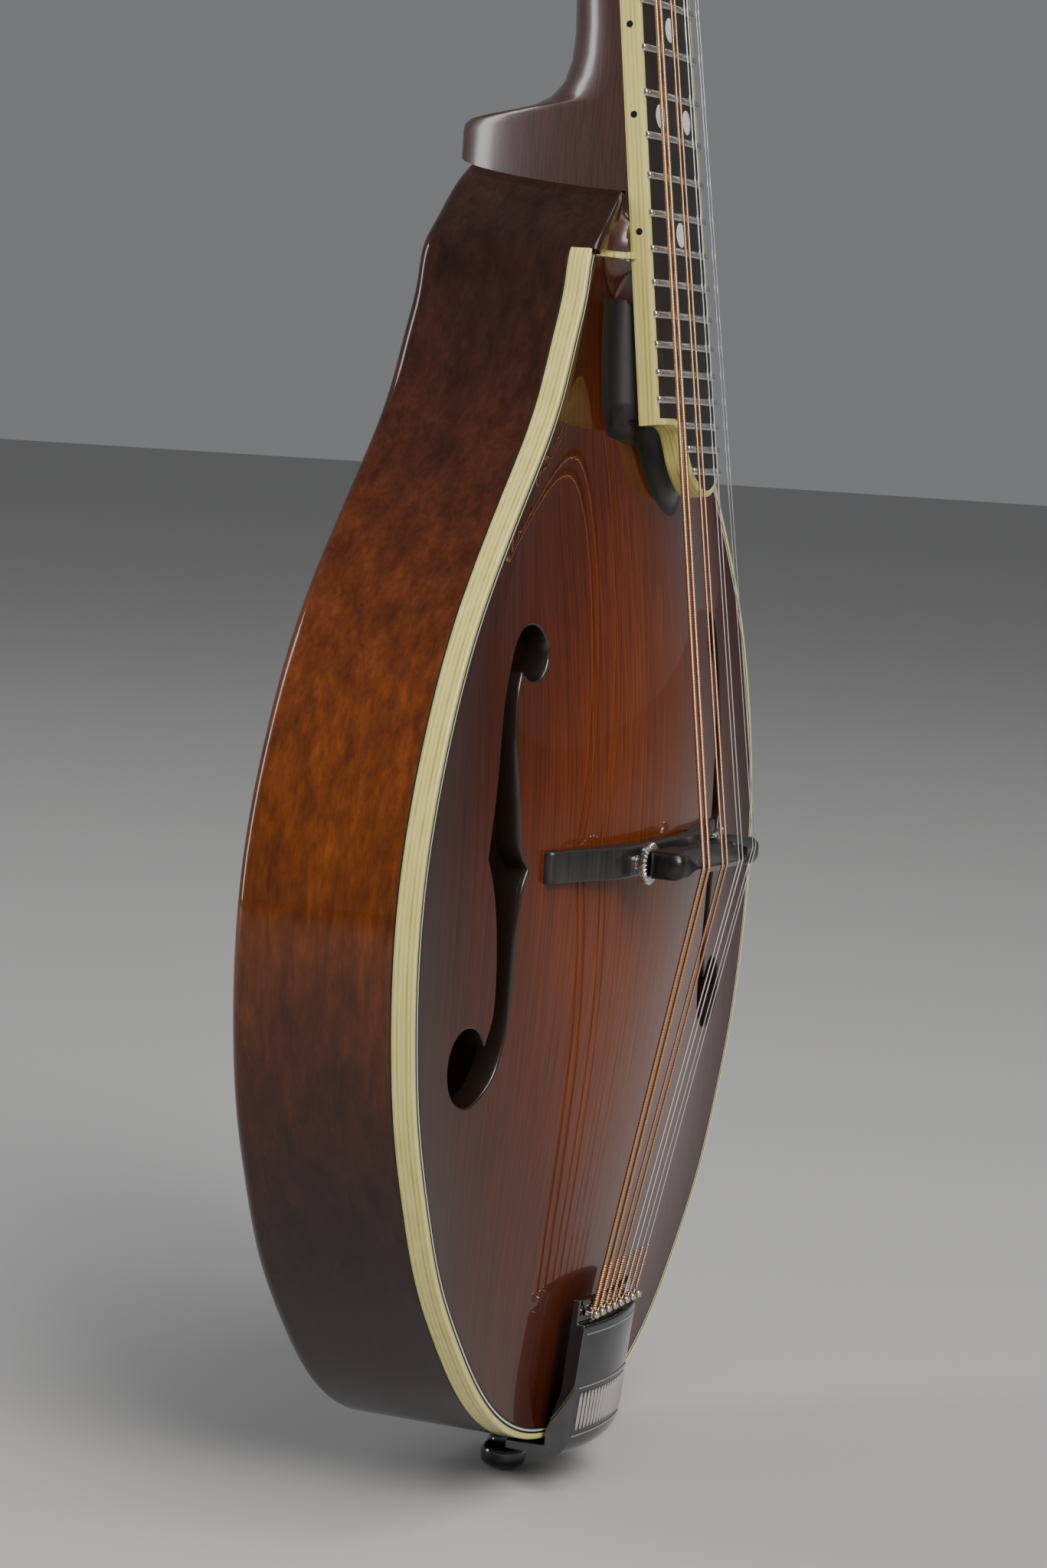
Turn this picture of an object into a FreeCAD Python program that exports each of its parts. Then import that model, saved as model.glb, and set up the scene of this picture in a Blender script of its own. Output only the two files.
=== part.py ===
import FreeCAD, Part
import math
import os

from FreeCAD import Placement, Rotation, Vector

# Teardrop carved-top mandolin.  Millimetres.  X across the width, treble side positive.
# Y through the depth, the front faces -Y.  Z up along the body.
# The origin is on the centre of the strap button's head.

# body
JOINT_Z = 311.5            # height of the end line of the top, level with the 15th fret
EDGE_Y = -17.0             # front plane of the body's edge
BODY_STATIONS = [          # (distance down from the joint line, half width)
    (-19.5, 13.0), (-14.0, 20.5), (-6.5, 28.5), (1.0, 35.3), (10.0, 37.5), (20.0, 41.5),
    (38.0, 50.0), (57.0, 64.5), (75.0, 79.5), (93.0, 92.3), (120.0, 105.0), (145.0, 112.0),
    (168.0, 113.8), (190.0, 111.8), (209.0, 107.6), (228.0, 100.2), (248.0, 90.0),
    (267.0, 75.0), (282.0, 60.0), (292.0, 45.5), (298.0, 31.5), (301.5, 16.0)]
NOSE_DOWN = -23.5          # end of the body inside the heel
TAIL_DOWN = 302.6          # tail end of the body
DEPTH_AT_JOINT = 46.0      # edge depth at the joint line
DEPTH_TAPER = 0.0099       # edge depth gained per millimetre toward the tail
TOP_EDGE_T = 6.0           # thickness of the top at its edge, also the binding's height
BACK_EDGE_T = 3.5
RIM_T = 2.6
SHOULDER_RISE = 1.5        # shoulder above the body's front plane
TOP_ARCH = 15.0
BACK_ARCH = 12.0
TOP_T_MIDDLE = 5.0
BACK_T_MIDDLE = 4.2
FLAT_EDGE = 6.0            # flat margin inside the outline before the arch starts
INNER_FLAT = 10.5          # flat margin on the inside, over the linings
BINDING_W = 1.6
PURFLING_W = 1.5
PURFLING_T = 1.5
RIM_LINE_T = 0.5
LINING_W = 5.0
LINING_T = 7.0
GLUE = 0.05                # glue line between curved faces

# neck
SCALE = 352.4
JOINT_U = 204.15           # 15th fret, from the nut
NECK_TILT = 7.5            # degrees the strings' plane leans from the body's front plane
FRET_PLANE_RISE = 11.3     # fret tops above the body's front plane at the 15th fret
NUT_WIDTH = 28.7
WIDTH_GROWTH = 0.05335     # fingerboard width gained per millimetre of length
BOARD_R = 190.0            # fingerboard radius
BOARD_T = 6.0
FRET_H = 1.0
FRET_W = 2.0
FRET_COUNT = 23
BOARD_END_U = 247.6
NUT_T = 5.0
DOT_R = 3.1
SIDE_DOT_R = 0.9

# headstock
HEAD_TILT = 14.0           # degrees further back than the neck
HEAD_T = 15.0              # with its veneer
VENEER_T = 2.0
HEAD_DROP = 4.0            # veneer face behind the fret tops, at the nut
POST_X = 19.5
POST_FIRST = 34.0
POST_PITCH = 23.0
POST_R = 3.0
POST_FRONT = 12.5          # post's reach in front of the veneer
WRAP_LEVEL = 7.6           # string level on the post, in front of the veneer
POST_WAIST_R = 2.6
PLATE_T = 1.2

# tuner gears
TEETH = 16
MODULE = 0.594
WORM_PITCH_R = 2.4
GEAR_T = 3.0
LUG_INNER = 6.2            # tuner plate lugs, from the gear's axis
LUG_T = 1.5

# bridge and strings
BRIDGE_DOWN = 150.0
BASE_HALF_W = 4.0
SADDLE_TOP = 34.9
SADDLE_UNDER = 23.2
STUD_X = 25.0
STUD_R = 1.75
WHEEL_R = 5.3
WHEEL_T = 2.2
WHEEL_FRONT = 20.9
RUN_GAP = 0.05
WRAP_TURNS = [3, 3, 4, 4, 6, 6, 8, 8]
STRING_R = [0.5, 0.5, 0.33, 0.33, 0.205, 0.205, 0.14, 0.14]
SADDLE_X = [-19.5, -16.5, -7.6, -4.6, 4.6, 7.6, 16.5, 19.5]
NUT_X = [-12.6, -10.6, -4.9, -2.9, 2.9, 4.9, 10.6, 12.6]
PEG_X = [-14.7, -10.5, -6.3, -2.1, 2.1, 6.3, 10.5, 14.7]

# tailpiece and button
TAILPIECE_HALF_W = 17.5
LAND_R = 6.0

os.makedirs("parts", exist_ok=True)


def at(x, front, down):
    """Point from its side, its height in front of the body's edge plane and its distance down."""
    return Vector(x, EDGE_Y - front, JOINT_Z - down)


def box(x0, x1, front0, front1, down0, down1):
    """Box between two corners given the same way as at()."""
    low = at(x0, front1, down1)
    return Part.makeBox(x1 - x0, front1 - front0, down1 - down0, low)


def plain_box(x0, x1, y0, y1, z0, z1):
    return Part.makeBox(x1 - x0, y1 - y0, z1 - z0, Vector(x0, y0, z0))


def placed(shape, placement):
    moved = shape.copy()
    moved.Placement = placement.multiply(moved.Placement)
    return moved


def mirrored(shape):
    return shape.mirror(Vector(0, 0, 0), Vector(1, 0, 0))


def fused(shapes):
    result = shapes[0].multiFuse(shapes[1:]) if len(shapes) > 1 else shapes[0]
    return result.removeSplitter()


def save(name, solids):
    shape = solids[0] if len(solids) == 1 else Part.makeCompound(solids)
    shape.exportStep(os.path.join("parts", name + ".step"))


def polygon_face(points):
    return Part.Face(Part.makePolygon(points + [points[0]]))


NECK = Placement(
    Vector(0, EDGE_Y - FRET_PLANE_RISE, JOINT_Z + 1.5), Rotation(Vector(1, 0, 0), -NECK_TILT))
HEAD = NECK.multiply(
    Placement(Vector(0, HEAD_DROP, JOINT_U + NUT_T), Rotation(Vector(1, 0, 0), -HEAD_TILT)))
OTHER_SIDE = Placement(
    Vector(0, 0, 2 * POST_FIRST + 3 * POST_PITCH), Rotation(Vector(0, 1, 0), 180))


# ---------------------------------------------------------------- body outline and arches

def outline_curve():
    right = [Vector(half, 0, -down) for down, half in BODY_STATIONS]
    left = [Vector(-point.x, 0, point.z) for point in reversed(right)]
    points = [Vector(0, 0, -NOSE_DOWN)] + right + [Vector(0, 0, -TAIL_DOWN)] + left
    curve = Part.BSplineCurve()
    curve.interpolate(Points=points, PeriodicFlag=True)
    return curve


OUTLINE = outline_curve()


def inset_wire(inset):
    """Body outline moved inward."""
    if inset == 0:
        return Part.Wire(OUTLINE.toShape())
    points = []
    count = 110
    first, last = OUTLINE.FirstParameter, OUTLINE.LastParameter
    for step in range(count):
        parameter = first + (last - first) * step / count
        tangent = OUTLINE.tangent(parameter)[0]
        normal = Vector(tangent.z, 0, -tangent.x)
        point = OUTLINE.value(parameter)
        if normal.dot(Vector(-point.x, 0, -150 - point.z)) < 0:
            normal = normal * -1
        points.append(point + normal * inset)
    curve = Part.BSplineCurve()
    curve.interpolate(Points=points, PeriodicFlag=True)
    return Part.Wire(curve.toShape())


def outline_prism(inset, front, back):
    """Solid inside the outline, from a height in front of the edge plane back to another."""
    face = Part.Face(inset_wire(inset))
    face.translate(Vector(0, EDGE_Y - front, JOINT_Z))
    return face.extrude(Vector(0, front - back, 0))


def half_width(down):
    stations = [(NOSE_DOWN, 0.0)] + BODY_STATIONS + [(TAIL_DOWN, 0.0)]
    for (low, w_low), (high, w_high) in zip(stations, stations[1:]):
        if low <= down <= high:
            return w_low + (w_high - w_low) * (down - low) / (high - low)
    return 0.0


def smooth_half_width(down):
    """Half width averaged along the body, so that the arch has no ripple."""
    spread = [-9.0, -6.0, -3.0, 0.0, 3.0, 6.0, 9.0]
    values = [half_width(min(max(down + step, 4.0), 296.0)) for step in spread]
    return sum(values) / len(values)


def bell(x, down, margin, start, end, power):
    """Arch shape: 1 in the middle of the body and 0 at its flat margin."""
    along = (down - start) / (end - start)
    if along <= 0 or along >= 1:
        return 0.0
    length_part = math.sin(math.pi * along) ** power
    across = abs(x) / max(smooth_half_width(down) - margin, 8.0)
    if across >= 1:
        return 0.0
    return length_part * math.cos(math.pi * across / 2) ** 2


def surface_solid(height, reach):
    """Everything behind a surface given by its height in front of the edge plane."""
    rows = []
    for i in range(47):
        x = -126.5 + 5.5 * i
        row = []
        for j in range(61):
            down = -32.0 + 5.8 * j
            row.append(at(x, height(x, down), down))
        rows.append(row)
    surface = Part.BSplineSurface()
    surface.interpolate(rows)
    return surface.toShape().extrude(Vector(0, reach, 0))


def top_outer(x, down):
    return TOP_ARCH * bell(x, down, FLAT_EDGE, -8.0, 297.0, 1.4)


def top_inner(x, down):
    rise = TOP_ARCH + TOP_EDGE_T - TOP_T_MIDDLE
    return -TOP_EDGE_T + rise * bell(x, down, INNER_FLAT, 8.0, 289.0, 1.5)


def back_edge(down):
    """Height of the body's back edge plane, negative behind the front plane."""
    return -(DEPTH_AT_JOINT + DEPTH_TAPER * down)


def back_outer(x, down):
    return back_edge(down) - BACK_ARCH * bell(x, down, FLAT_EDGE, -12.0, 297.0, 1.2)


def back_inner(x, down):
    rise = BACK_ARCH + BACK_EDGE_T - BACK_T_MIDDLE
    return back_edge(down) + BACK_EDGE_T - rise * bell(x, down, INNER_FLAT, 8.0, 289.0, 1.4)


def behind_back_plane(offset):
    """Everything behind the back's joint plane, moved forward by the offset."""
    corners = [at(0, back_edge(-60) + offset, -60), at(0, back_edge(360) + offset, 360),
               at(0, -150, 360), at(0, -150, -60)]
    face = polygon_face([corner - Vector(150, 0, 0) for corner in corners])
    return face.extrude(Vector(300, 0, 0))


BEHIND_TOP = surface_solid(top_outer, 90)
INSIDE_TOP = surface_solid(top_inner, 40)
BEHIND_BACK = surface_solid(back_outer, 60)
AIR_BEFORE_BACK = surface_solid(back_inner, -60)
BACK_JOINT = behind_back_plane(BACK_EDGE_T)
BELOW_STRIP = box(-150, 150, -80, 60, BINDING_W, 340)
BELOW_JOINT = box(-150, 150, -80, 60, 0, 340)


def f_hole():
    """Cutter for the bass f-hole, from its edge curves given as (down, out)."""
    curves = [
        [(102.5, 66.5), (105.0, 62.0), (104.0, 58.3), (99.0, 55.3), (94.3, 56.2), (91.5, 60.5),
         (92.3, 65.3), (96.2, 69.0), (101.0, 71.2), (107.0, 73.2), (115.0, 74.8),
         (125.0, 76.0), (136.0, 77.6), (146.5, 79.4)],
        [(146.5, 79.4), (152.0, 77.0), (161.0, 74.6), (172.0, 73.0), (180.0, 72.4),
         (186.0, 72.7), (192.0, 75.2)],
        [(192.0, 75.2), (189.0, 77.6), (187.2, 81.2), (187.3, 85.5), (189.3, 89.2),
         (193.0, 91.5), (197.3, 91.8), (202.0, 89.8), (205.4, 85.4), (206.3, 80.2),
         (204.5, 75.5), (201.0, 71.0), (195.5, 68.2), (189.0, 66.6), (180.0, 65.9),
         (170.0, 66.0), (160.0, 65.6), (154.0, 64.6), (150.0, 62.6)],
        [(150.0, 62.6), (147.5, 65.0), (140.0, 66.8), (130.0, 68.0), (120.0, 69.0),
         (112.0, 68.8), (106.0, 67.8), (102.5, 66.5)]]
    edges = []
    for points in curves:
        curve = Part.BSplineCurve()
        curve.interpolate([at(-out, 40, down) for down, out in points])
        edges.append(curve.toShape())
    return Part.Face(Part.Wire(edges)).extrude(Vector(0, 60, 0))


# ---------------------------------------------------------------- body

def cheek_discs():
    """Coved discs either side of the neck, on the joint line, under the fingerboard."""
    discs = []
    for side in (-1, 1):
        base = at(13.0 * side, 0, -1.0)
        profile = Part.Wire([
            Part.makeLine(Vector(0, 0, 0), Vector(14.4, 0, 0)),
            Part.makeLine(Vector(14.4, 0, 0), Vector(14.4, -0.6, 0)),
            Part.Arc(Vector(14.4, -0.6, 0), Vector(10.2, -2.2, 0), Vector(8.0, -6.4, 0)).toShape(),
            Part.makeLine(Vector(8.0, -6.4, 0), Vector(0, -6.4, 0)),
            Part.makeLine(Vector(0, -6.4, 0), Vector(0, 0, 0))])
        disc = Part.Face(profile).revolve(Vector(0, 0, 0), Vector(0, 1, 0), 360)
        disc.translate(base)
        discs.append(disc)
    return discs


def under_board(extra):
    """Everything behind the fingerboard's flat underside."""
    return placed(plain_box(-60, 60, FRET_H + BOARD_T + extra, 120, -120, 320), NECK)


CHEEKS = fused(cheek_discs()).common(under_board(0))
STRIP_SLAB = box(-60, 60, -TOP_EDGE_T + RIM_LINE_T, 12, 0, BINDING_W)
STRIP_SLAB = STRIP_SLAB.cut(box(-12, 12, 0, 13, -1, BINDING_W + 1))

rim = outline_prism(0, SHOULDER_RISE, -80).cut(outline_prism(RIM_T, SHOULDER_RISE + 1, -81))
rim = rim.cut(box(-150, 150, -TOP_EDGE_T, 5, 0, 340)).cut(BACK_JOINT)

head_block = outline_prism(RIM_T + GLUE, SHOULDER_RISE, -80).cut(BACK_JOINT)
head_block = head_block.common(box(-60, 60, -80, SHOULDER_RISE, -30, 24))
head_block = head_block.cut(box(-60, 60, -TOP_EDGE_T, 5, 0, 30))

tail_block = outline_prism(RIM_T + GLUE, -TOP_EDGE_T, -80).cut(BACK_JOINT)
tail_block = tail_block.common(box(-32, 32, -80, 0, 282, 310))

lining_ring = outline_prism(RIM_T + GLUE, -TOP_EDGE_T, -80)
lining_ring = lining_ring.cut(outline_prism(RIM_T + LINING_W, -TOP_EDGE_T + 1, -81))
lining_ring = lining_ring.common(box(-130, 130, -90, 0, 24.1, 296))
lining_ring = lining_ring.cut(box(-32.1, 32.1, -90, 0, 281.9, 310))
top_lining = lining_ring.common(box(-130, 130, -TOP_EDGE_T - LINING_T, -TOP_EDGE_T, 0, 320))
back_lining = lining_ring.cut(BACK_JOINT).common(behind_back_plane(BACK_EDGE_T + LINING_T))

back_plate = outline_prism(0, -30, -90).cut(AIR_BEFORE_BACK).cut(BEHIND_BACK)

soundboard = outline_prism(BINDING_W + GLUE, 40, -9).common(BEHIND_TOP).cut(INSIDE_TOP)
soundboard = soundboard.common(BELOW_STRIP)
ledge = outline_prism(BINDING_W, 1, -PURFLING_T)
ledge = ledge.cut(outline_prism(BINDING_W + PURFLING_W + GLUE, 2, -PURFLING_T - 1))
soundboard = soundboard.cut(ledge)
for hole in (f_hole(), mirrored(f_hole())):
    soundboard = soundboard.cut(hole)

purfling = outline_prism(BINDING_W + GLUE, 0, -PURFLING_T + 0.02)
purfling = purfling.cut(outline_prism(BINDING_W + PURFLING_W, 1, -PURFLING_T - 1))
purfling = purfling.common(BELOW_STRIP)
rim_line = outline_prism(0, -TOP_EDGE_T + RIM_LINE_T, -TOP_EDGE_T)
rim_line = rim_line.cut(outline_prism(BINDING_W, 0, -TOP_EDGE_T - 1)).common(BELOW_JOINT)

top_binding = outline_prism(0, 0, -TOP_EDGE_T + RIM_LINE_T)
top_binding = top_binding.cut(outline_prism(BINDING_W, 1, -TOP_EDGE_T).common(BELOW_STRIP))
top_binding = top_binding.common(BELOW_JOINT)
top_binding = fused([top_binding, CHEEKS.common(STRIP_SLAB)])

inside_top_shifted = INSIDE_TOP.copy()
inside_top_shifted.translate(Vector(0, GLUE, 0))
bar_floor = INSIDE_TOP.copy()
bar_floor.translate(Vector(0, 9.0, 0))
tone_bar = box(-26, -20, -30, 30, 55, 245).common(inside_top_shifted).cut(bar_floor)
tone_bars = [tone_bar, mirrored(tone_bar)]

# ---------------------------------------------------------------- neck

def board_half_width(u):
    return (NUT_WIDTH + WIDTH_GROWTH * u) / 2


def fret_position(number):
    return SCALE * (1 - 2 ** (-number / 12))


def neck_point(u, v, back):
    """Point in the neck's own frame: from the nut, toward the treble, behind the fret tops."""
    return Vector(v, back, JOINT_U - u)


BOARD_END_CURVE = [        # (from the nut, toward the treble), the end's ogee
    (247.6, -11.0), (249.0, -7.9), (252.5, -5.6), (257.8, -3.3), (262.0, 0.3), (264.8, 5.0),
    (265.4, 10.0), (264.2, 15.0), (261.6, 19.0), (258.6, 21.2)]


def board_end(inset):
    """The ogee moved inward."""
    points = [(BOARD_END_U - inset, BOARD_END_CURVE[0][1])]
    for (u0, v0), (u, v), (u1, v1) in zip(BOARD_END_CURVE, BOARD_END_CURVE[1:], BOARD_END_CURVE[2:]):
        length = math.hypot(u1 - u0, v1 - v0)
        points.append((u - inset * (v1 - v0) / length, v + inset * (u1 - u0) / length))
    last_u = BOARD_END_CURVE[-1][0] - 0.6 * inset
    points.append((last_u, board_half_width(last_u) - inset))
    return points


def board_prism(inset, start_u, back0, back1):
    """Fingerboard blank, square on the bass side and curved to a tip on the treble side."""
    end = board_end(inset)
    curve = Part.BSplineCurve()
    curve.interpolate([neck_point(u, v, back0) for u, v in end])
    start_half = board_half_width(start_u) - inset
    end_half = board_half_width(BOARD_END_U) - inset
    bass_start = neck_point(start_u, -start_half, back0)
    bass_end = neck_point(BOARD_END_U - inset, -end_half, back0)
    treble_start = neck_point(start_u, start_half, back0)
    edges = [Part.makeLine(bass_start, bass_end),
             Part.makeLine(bass_end, neck_point(end[0][0], end[0][1], back0)),
             curve.toShape(),
             Part.makeLine(neck_point(end[-1][0], end[-1][1], back0), treble_start),
             Part.makeLine(treble_start, bass_start)]
    return Part.Face(Part.Wire(edges)).extrude(Vector(0, back1 - back0, 0))


def radiused(drop, u0, u1):
    """Cylinder whose front matches the fingerboard's crown, moved back by the drop."""
    start = Vector(0, drop + BOARD_R, JOINT_U - u1)
    return Part.makeCylinder(BOARD_R, u1 - u0, start, Vector(0, 0, 1))


board_bottom = FRET_H + BOARD_T
board_blank = board_prism(0, 0, 0, board_bottom).common(radiused(FRET_H, -5, 275))
inner_blank = board_prism(BINDING_W, -1, -1, board_bottom + 1)
fingerboard = board_blank.common(inner_blank)
fingerboard_binding = board_blank.cut(inner_blank)

frets = []
for number in range(1, FRET_COUNT + 1):
    u = fret_position(number)
    left = -board_half_width(u) + 0.4
    if number > 20:
        left = {21: -9.2, 22: -4.2, 23: -1.4}[number]
    right = board_half_width(u) - 0.4
    bead = radiused(0, u - FRET_W / 2, u + FRET_W / 2)
    bead = bead.common(plain_box(left, right, -1, FRET_H + 3, JOINT_U - u - 2, JOINT_U - u + 2))
    frets.append(bead.cut(radiused(FRET_H - 0.01, u - 3, u + 3)))


def disc_in_board(u, v, radius, thickness):
    """Round inlay flush with the fingerboard's crown."""
    plug = Part.makeCylinder(radius, 6, neck_point(u, v, -1), Vector(0, 1, 0))
    return plug.common(radiused(FRET_H, u - 10, u + 10)).cut(
        radiused(FRET_H + thickness, u - 10, u + 10))


dots = []
for number, offsets in ((5, [0]), (7, [0]), (10, [0]), (12, [-9.0, 9.0]), (15, [0])):
    middle = (fret_position(number) + fret_position(number - 1)) / 2
    for offset in offsets:
        dots.append(disc_in_board(middle, offset, DOT_R, 1.5))
side_dots = []
for number in (3, 5, 7, 10, 12, 15):
    middle = (fret_position(number) + fret_position(number - 1)) / 2
    edge = neck_point(middle, -board_half_width(middle) - 0.05, 4.6)
    side_dots.append(Part.makeCylinder(SIDE_DOT_R, 1.2, edge, Vector(1, 0, 0)))
for dot in dots:
    fingerboard = fingerboard.cut(dot)
for dot in side_dots:
    fingerboard_binding = fingerboard_binding.cut(dot)

nut = plain_box(-NUT_WIDTH / 2, NUT_WIDTH / 2, -0.4, HEAD_DROP + 3, JOINT_U, JOINT_U + NUT_T)
nut = nut.common(radiused(-0.25, -6, 1))


BELLY = [                  # middle of the neck's back and the heel: (behind the fret tops, from the nut)
    (19.6, -6.0), (20.0, 0.0), (20.3, 30.0), (20.9, 60.0), (21.7, 90.0), (22.7, 120.0), (23.6, 140.0),
    (24.3, 148.0), (25.7, 154.5), (28.3, 159.8), (32.5, 163.2), (38.0, 164.8), (45.0, 165.5),
    (52.0, 165.9), (54.6, 166.2), (56.1, 167.2), (56.7, 169.0), (57.3, 174.0), (58.4, 182.0),
    (59.5, 190.0), (60.6, 198.0)]


def belly_section(deep, u):
    """Section across the neck: round on the shaft, square-shouldered and tapering on the heel."""
    half = min(board_half_width(u) - 0.05, 19.4)
    heel_share = min(max((deep - 22.0) / 38.0, 0.0), 1.0)
    points = []
    for step in range(25):
        angle = math.pi * step / 24
        side = math.copysign(abs(math.cos(angle)) ** (0.88 - 0.45 * heel_share), math.cos(angle))
        share = abs(math.sin(angle)) ** (0.86 - 0.14 * heel_share)
        width = half * (1 - 0.27 * heel_share * share ** 1.3)
        back = board_bottom + (deep - board_bottom) * share
        points.append(Vector(width * side, back, JOINT_U - u))
    curve = Part.BSplineCurve()
    curve.interpolate(points)
    return Part.Wire([curve.toShape(), Part.makeLine(points[-1], points[0])])


belly_sections = [belly_section(deep, u) for deep, u in BELLY]
shaft = placed(Part.makeLoft(belly_sections, True, True), NECK)
head_outline = Part.BSplineCurve()
head_outline.interpolate([
    Vector(-15.2, VENEER_T, 0), Vector(-17.5, VENEER_T, 8), Vector(-25.5, VENEER_T, 16),
    Vector(-31.6, VENEER_T, 25), Vector(-32.0, VENEER_T, 40), Vector(-30.8, VENEER_T, 80),
    Vector(-29.6, VENEER_T, 112), Vector(-26.0, VENEER_T, 122), Vector(-15.0, VENEER_T, 126.5),
    Vector(0, VENEER_T, 131), Vector(15.0, VENEER_T, 126.5), Vector(26.0, VENEER_T, 122),
    Vector(29.6, VENEER_T, 112), Vector(30.8, VENEER_T, 80), Vector(32.0, VENEER_T, 40),
    Vector(31.6, VENEER_T, 25), Vector(25.5, VENEER_T, 16), Vector(17.5, VENEER_T, 8),
    Vector(15.2, VENEER_T, 0)])
head_wire = Part.Wire([
    head_outline.toShape(), Part.makeLine(Vector(15.2, VENEER_T, 0), Vector(-15.2, VENEER_T, 0))])
head_blank = Part.Face(head_wire).extrude(Vector(0, HEAD_T - VENEER_T, 0))
veneer = Part.Face(head_wire).extrude(Vector(0, -VENEER_T, 0)).common(plain_box(-60, 60, 0, 5, 0.6, 150))
nut_end = placed(plain_box(-14.2, 14.2, board_bottom, 16, JOINT_U - 2, JOINT_U + NUT_T + 6), NECK)
before_veneer = placed(plain_box(-40, 40, -12, VENEER_T, -1, 45), HEAD)
nut_seat = placed(plain_box(-20, 20, -2, board_bottom, JOINT_U - 3, JOINT_U + NUT_T), NECK)

nose = outline_prism(0, 30, -90)
neck = fused([shaft, placed(head_blank, HEAD), nut_end]).cut(nose)
neck = neck.cut(before_veneer).cut(nut_seat)
tenon_slot = box(-11, 11, -38, SHOULDER_RISE, -24.5, -5)
tenon = tenon_slot.common(under_board(0))
over_top = BEHIND_TOP.copy()
over_top.translate(Vector(0, -GLUE, 0))
tongue = fused([CHEEKS, box(-19, 19, 0, 9, -20, 12.5).common(under_board(0))])
tongue = tongue.cut(STRIP_SLAB).cut(over_top.common(BELOW_JOINT))
tongue = tongue.cut(outline_prism(0, SHOULDER_RISE, -90).common(box(-60, 60, -90, 9, -60, 0)))
neck = fused([neck, tongue, tenon])
rim = rim.cut(tenon_slot)
head_block = head_block.cut(tenon_slot)

support = board_prism(2.0, 200, board_bottom, board_bottom + 25)
support = placed(support, NECK).common(box(-60, 60, -5, 60, 13.7, 90)).cut(over_top)

rod_y = 12.5
rod_channel = Part.makeCylinder(2.5, JOINT_U, Vector(0, rod_y, 18), Vector(0, 0, 1))
truss_rod = Part.makeCylinder(2.4, JOINT_U - 8, Vector(0, rod_y, 19), Vector(0, 0, 1))
nut_start = Vector(0, rod_y, JOINT_U + 11.2)
rod_nut = Part.makeCylinder(3.2, 8, nut_start, Vector(0, 0, 1))
rod_nut = rod_nut.cut(Part.makeCylinder(1.8, 5, nut_start + Vector(0, 0, 4), Vector(0, 0, 1)))
rod_pocket = plain_box(-4.5, 4.5, -1, 11.5, 0.5, 20)
neck = neck.cut(placed(rod_channel, NECK)).cut(placed(rod_pocket, HEAD))
veneer = veneer.cut(rod_pocket)

cover_face = polygon_face([Vector(-9, 0, 1.0), Vector(9, 0, 1.0), Vector(8.4, 0, 8.0),
                           Vector(5.0, 0, 22.0), Vector(3.0, 0, 28.0), Vector(-3.0, 0, 28.0),
                           Vector(-5.0, 0, 22.0), Vector(-8.4, 0, 8.0)])
rod_cover = cover_face.extrude(Vector(0, -1.5, 0))
cover_screws = []
for x, z in ((-6.6, 4.0), (6.6, 4.0), (0.0, 24.5)):
    rod_cover = rod_cover.cut(Part.makeCylinder(0.75, 3, Vector(x, -2, z), Vector(0, 1, 0)))
    veneer = veneer.cut(Part.makeCylinder(0.75, 3, Vector(x, -0.5, z), Vector(0, 1, 0)))
    hole = Part.makeCylinder(0.75, 7, Vector(x, 0, z), Vector(0, 1, 0))
    neck = neck.cut(placed(hole, HEAD))
    head = Part.makeCylinder(1.4, 0.6, Vector(x, -2.1, z), Vector(0, 1, 0))
    shank = Part.makeCylinder(0.7, 7.5, Vector(x, -1.6, z), Vector(0, 1, 0))
    slot = plain_box(x - 0.18, x + 0.18, -2.2, -1.8, z - 2, z + 2)
    cover_screws.append(head.fuse(shank).cut(slot))

# ---------------------------------------------------------------- tuners, in the headstock's frame

GEAR_MID = HEAD_T + PLATE_T + 0.4 + GEAR_T / 2
GEAR_PITCH_R = MODULE * TEETH / 2
WORM_PITCH = math.pi * MODULE
WORM_DROP = GEAR_PITCH_R + WORM_PITCH_R
FLANK = math.tan(math.radians(20))


def post_axis(index):
    """Post position of a bass-side tuner, counted from the nut."""
    return Vector(-POST_X, 0, POST_FIRST + POST_PITCH * index)


def gear_shape():
    """Spur gear twisted to match the worm's lead; a gap faces the worm below it."""
    lead = WORM_PITCH / (2 * math.pi * WORM_PITCH_R)
    twist = math.degrees(lead * GEAR_T / 2 / GEAR_PITCH_R)
    corners = []
    for radius, half in ((GEAR_PITCH_R - 0.74, 0.634), (GEAR_PITCH_R + MODULE, 0.149)):
        corners.append((radius, math.degrees(half / radius)))
    wires = []
    for side in (-1, 1):
        points = []
        for tooth in range(TEETH):
            middle = -90 + 360 / TEETH * (tooth + 0.5)
            for radius, half in (corners[0], corners[1]):
                points.append((radius, middle - half))
            for radius, half in (corners[1], corners[0]):
                points.append((radius, middle + half))
        ring = []
        for radius, degrees in points:
            angle = math.radians(degrees - side * twist)
            ring.append(Vector(radius * math.cos(angle), side * GEAR_T / 2, radius * math.sin(angle)))
        wires.append(Part.makePolygon(ring + [ring[0]]))
    gear = Part.makeLoft(wires, True, True)
    bore = Part.makeCylinder(1.65, 10, Vector(0, -5, 0), Vector(0, 1, 0))
    return gear.cut(bore)


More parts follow.
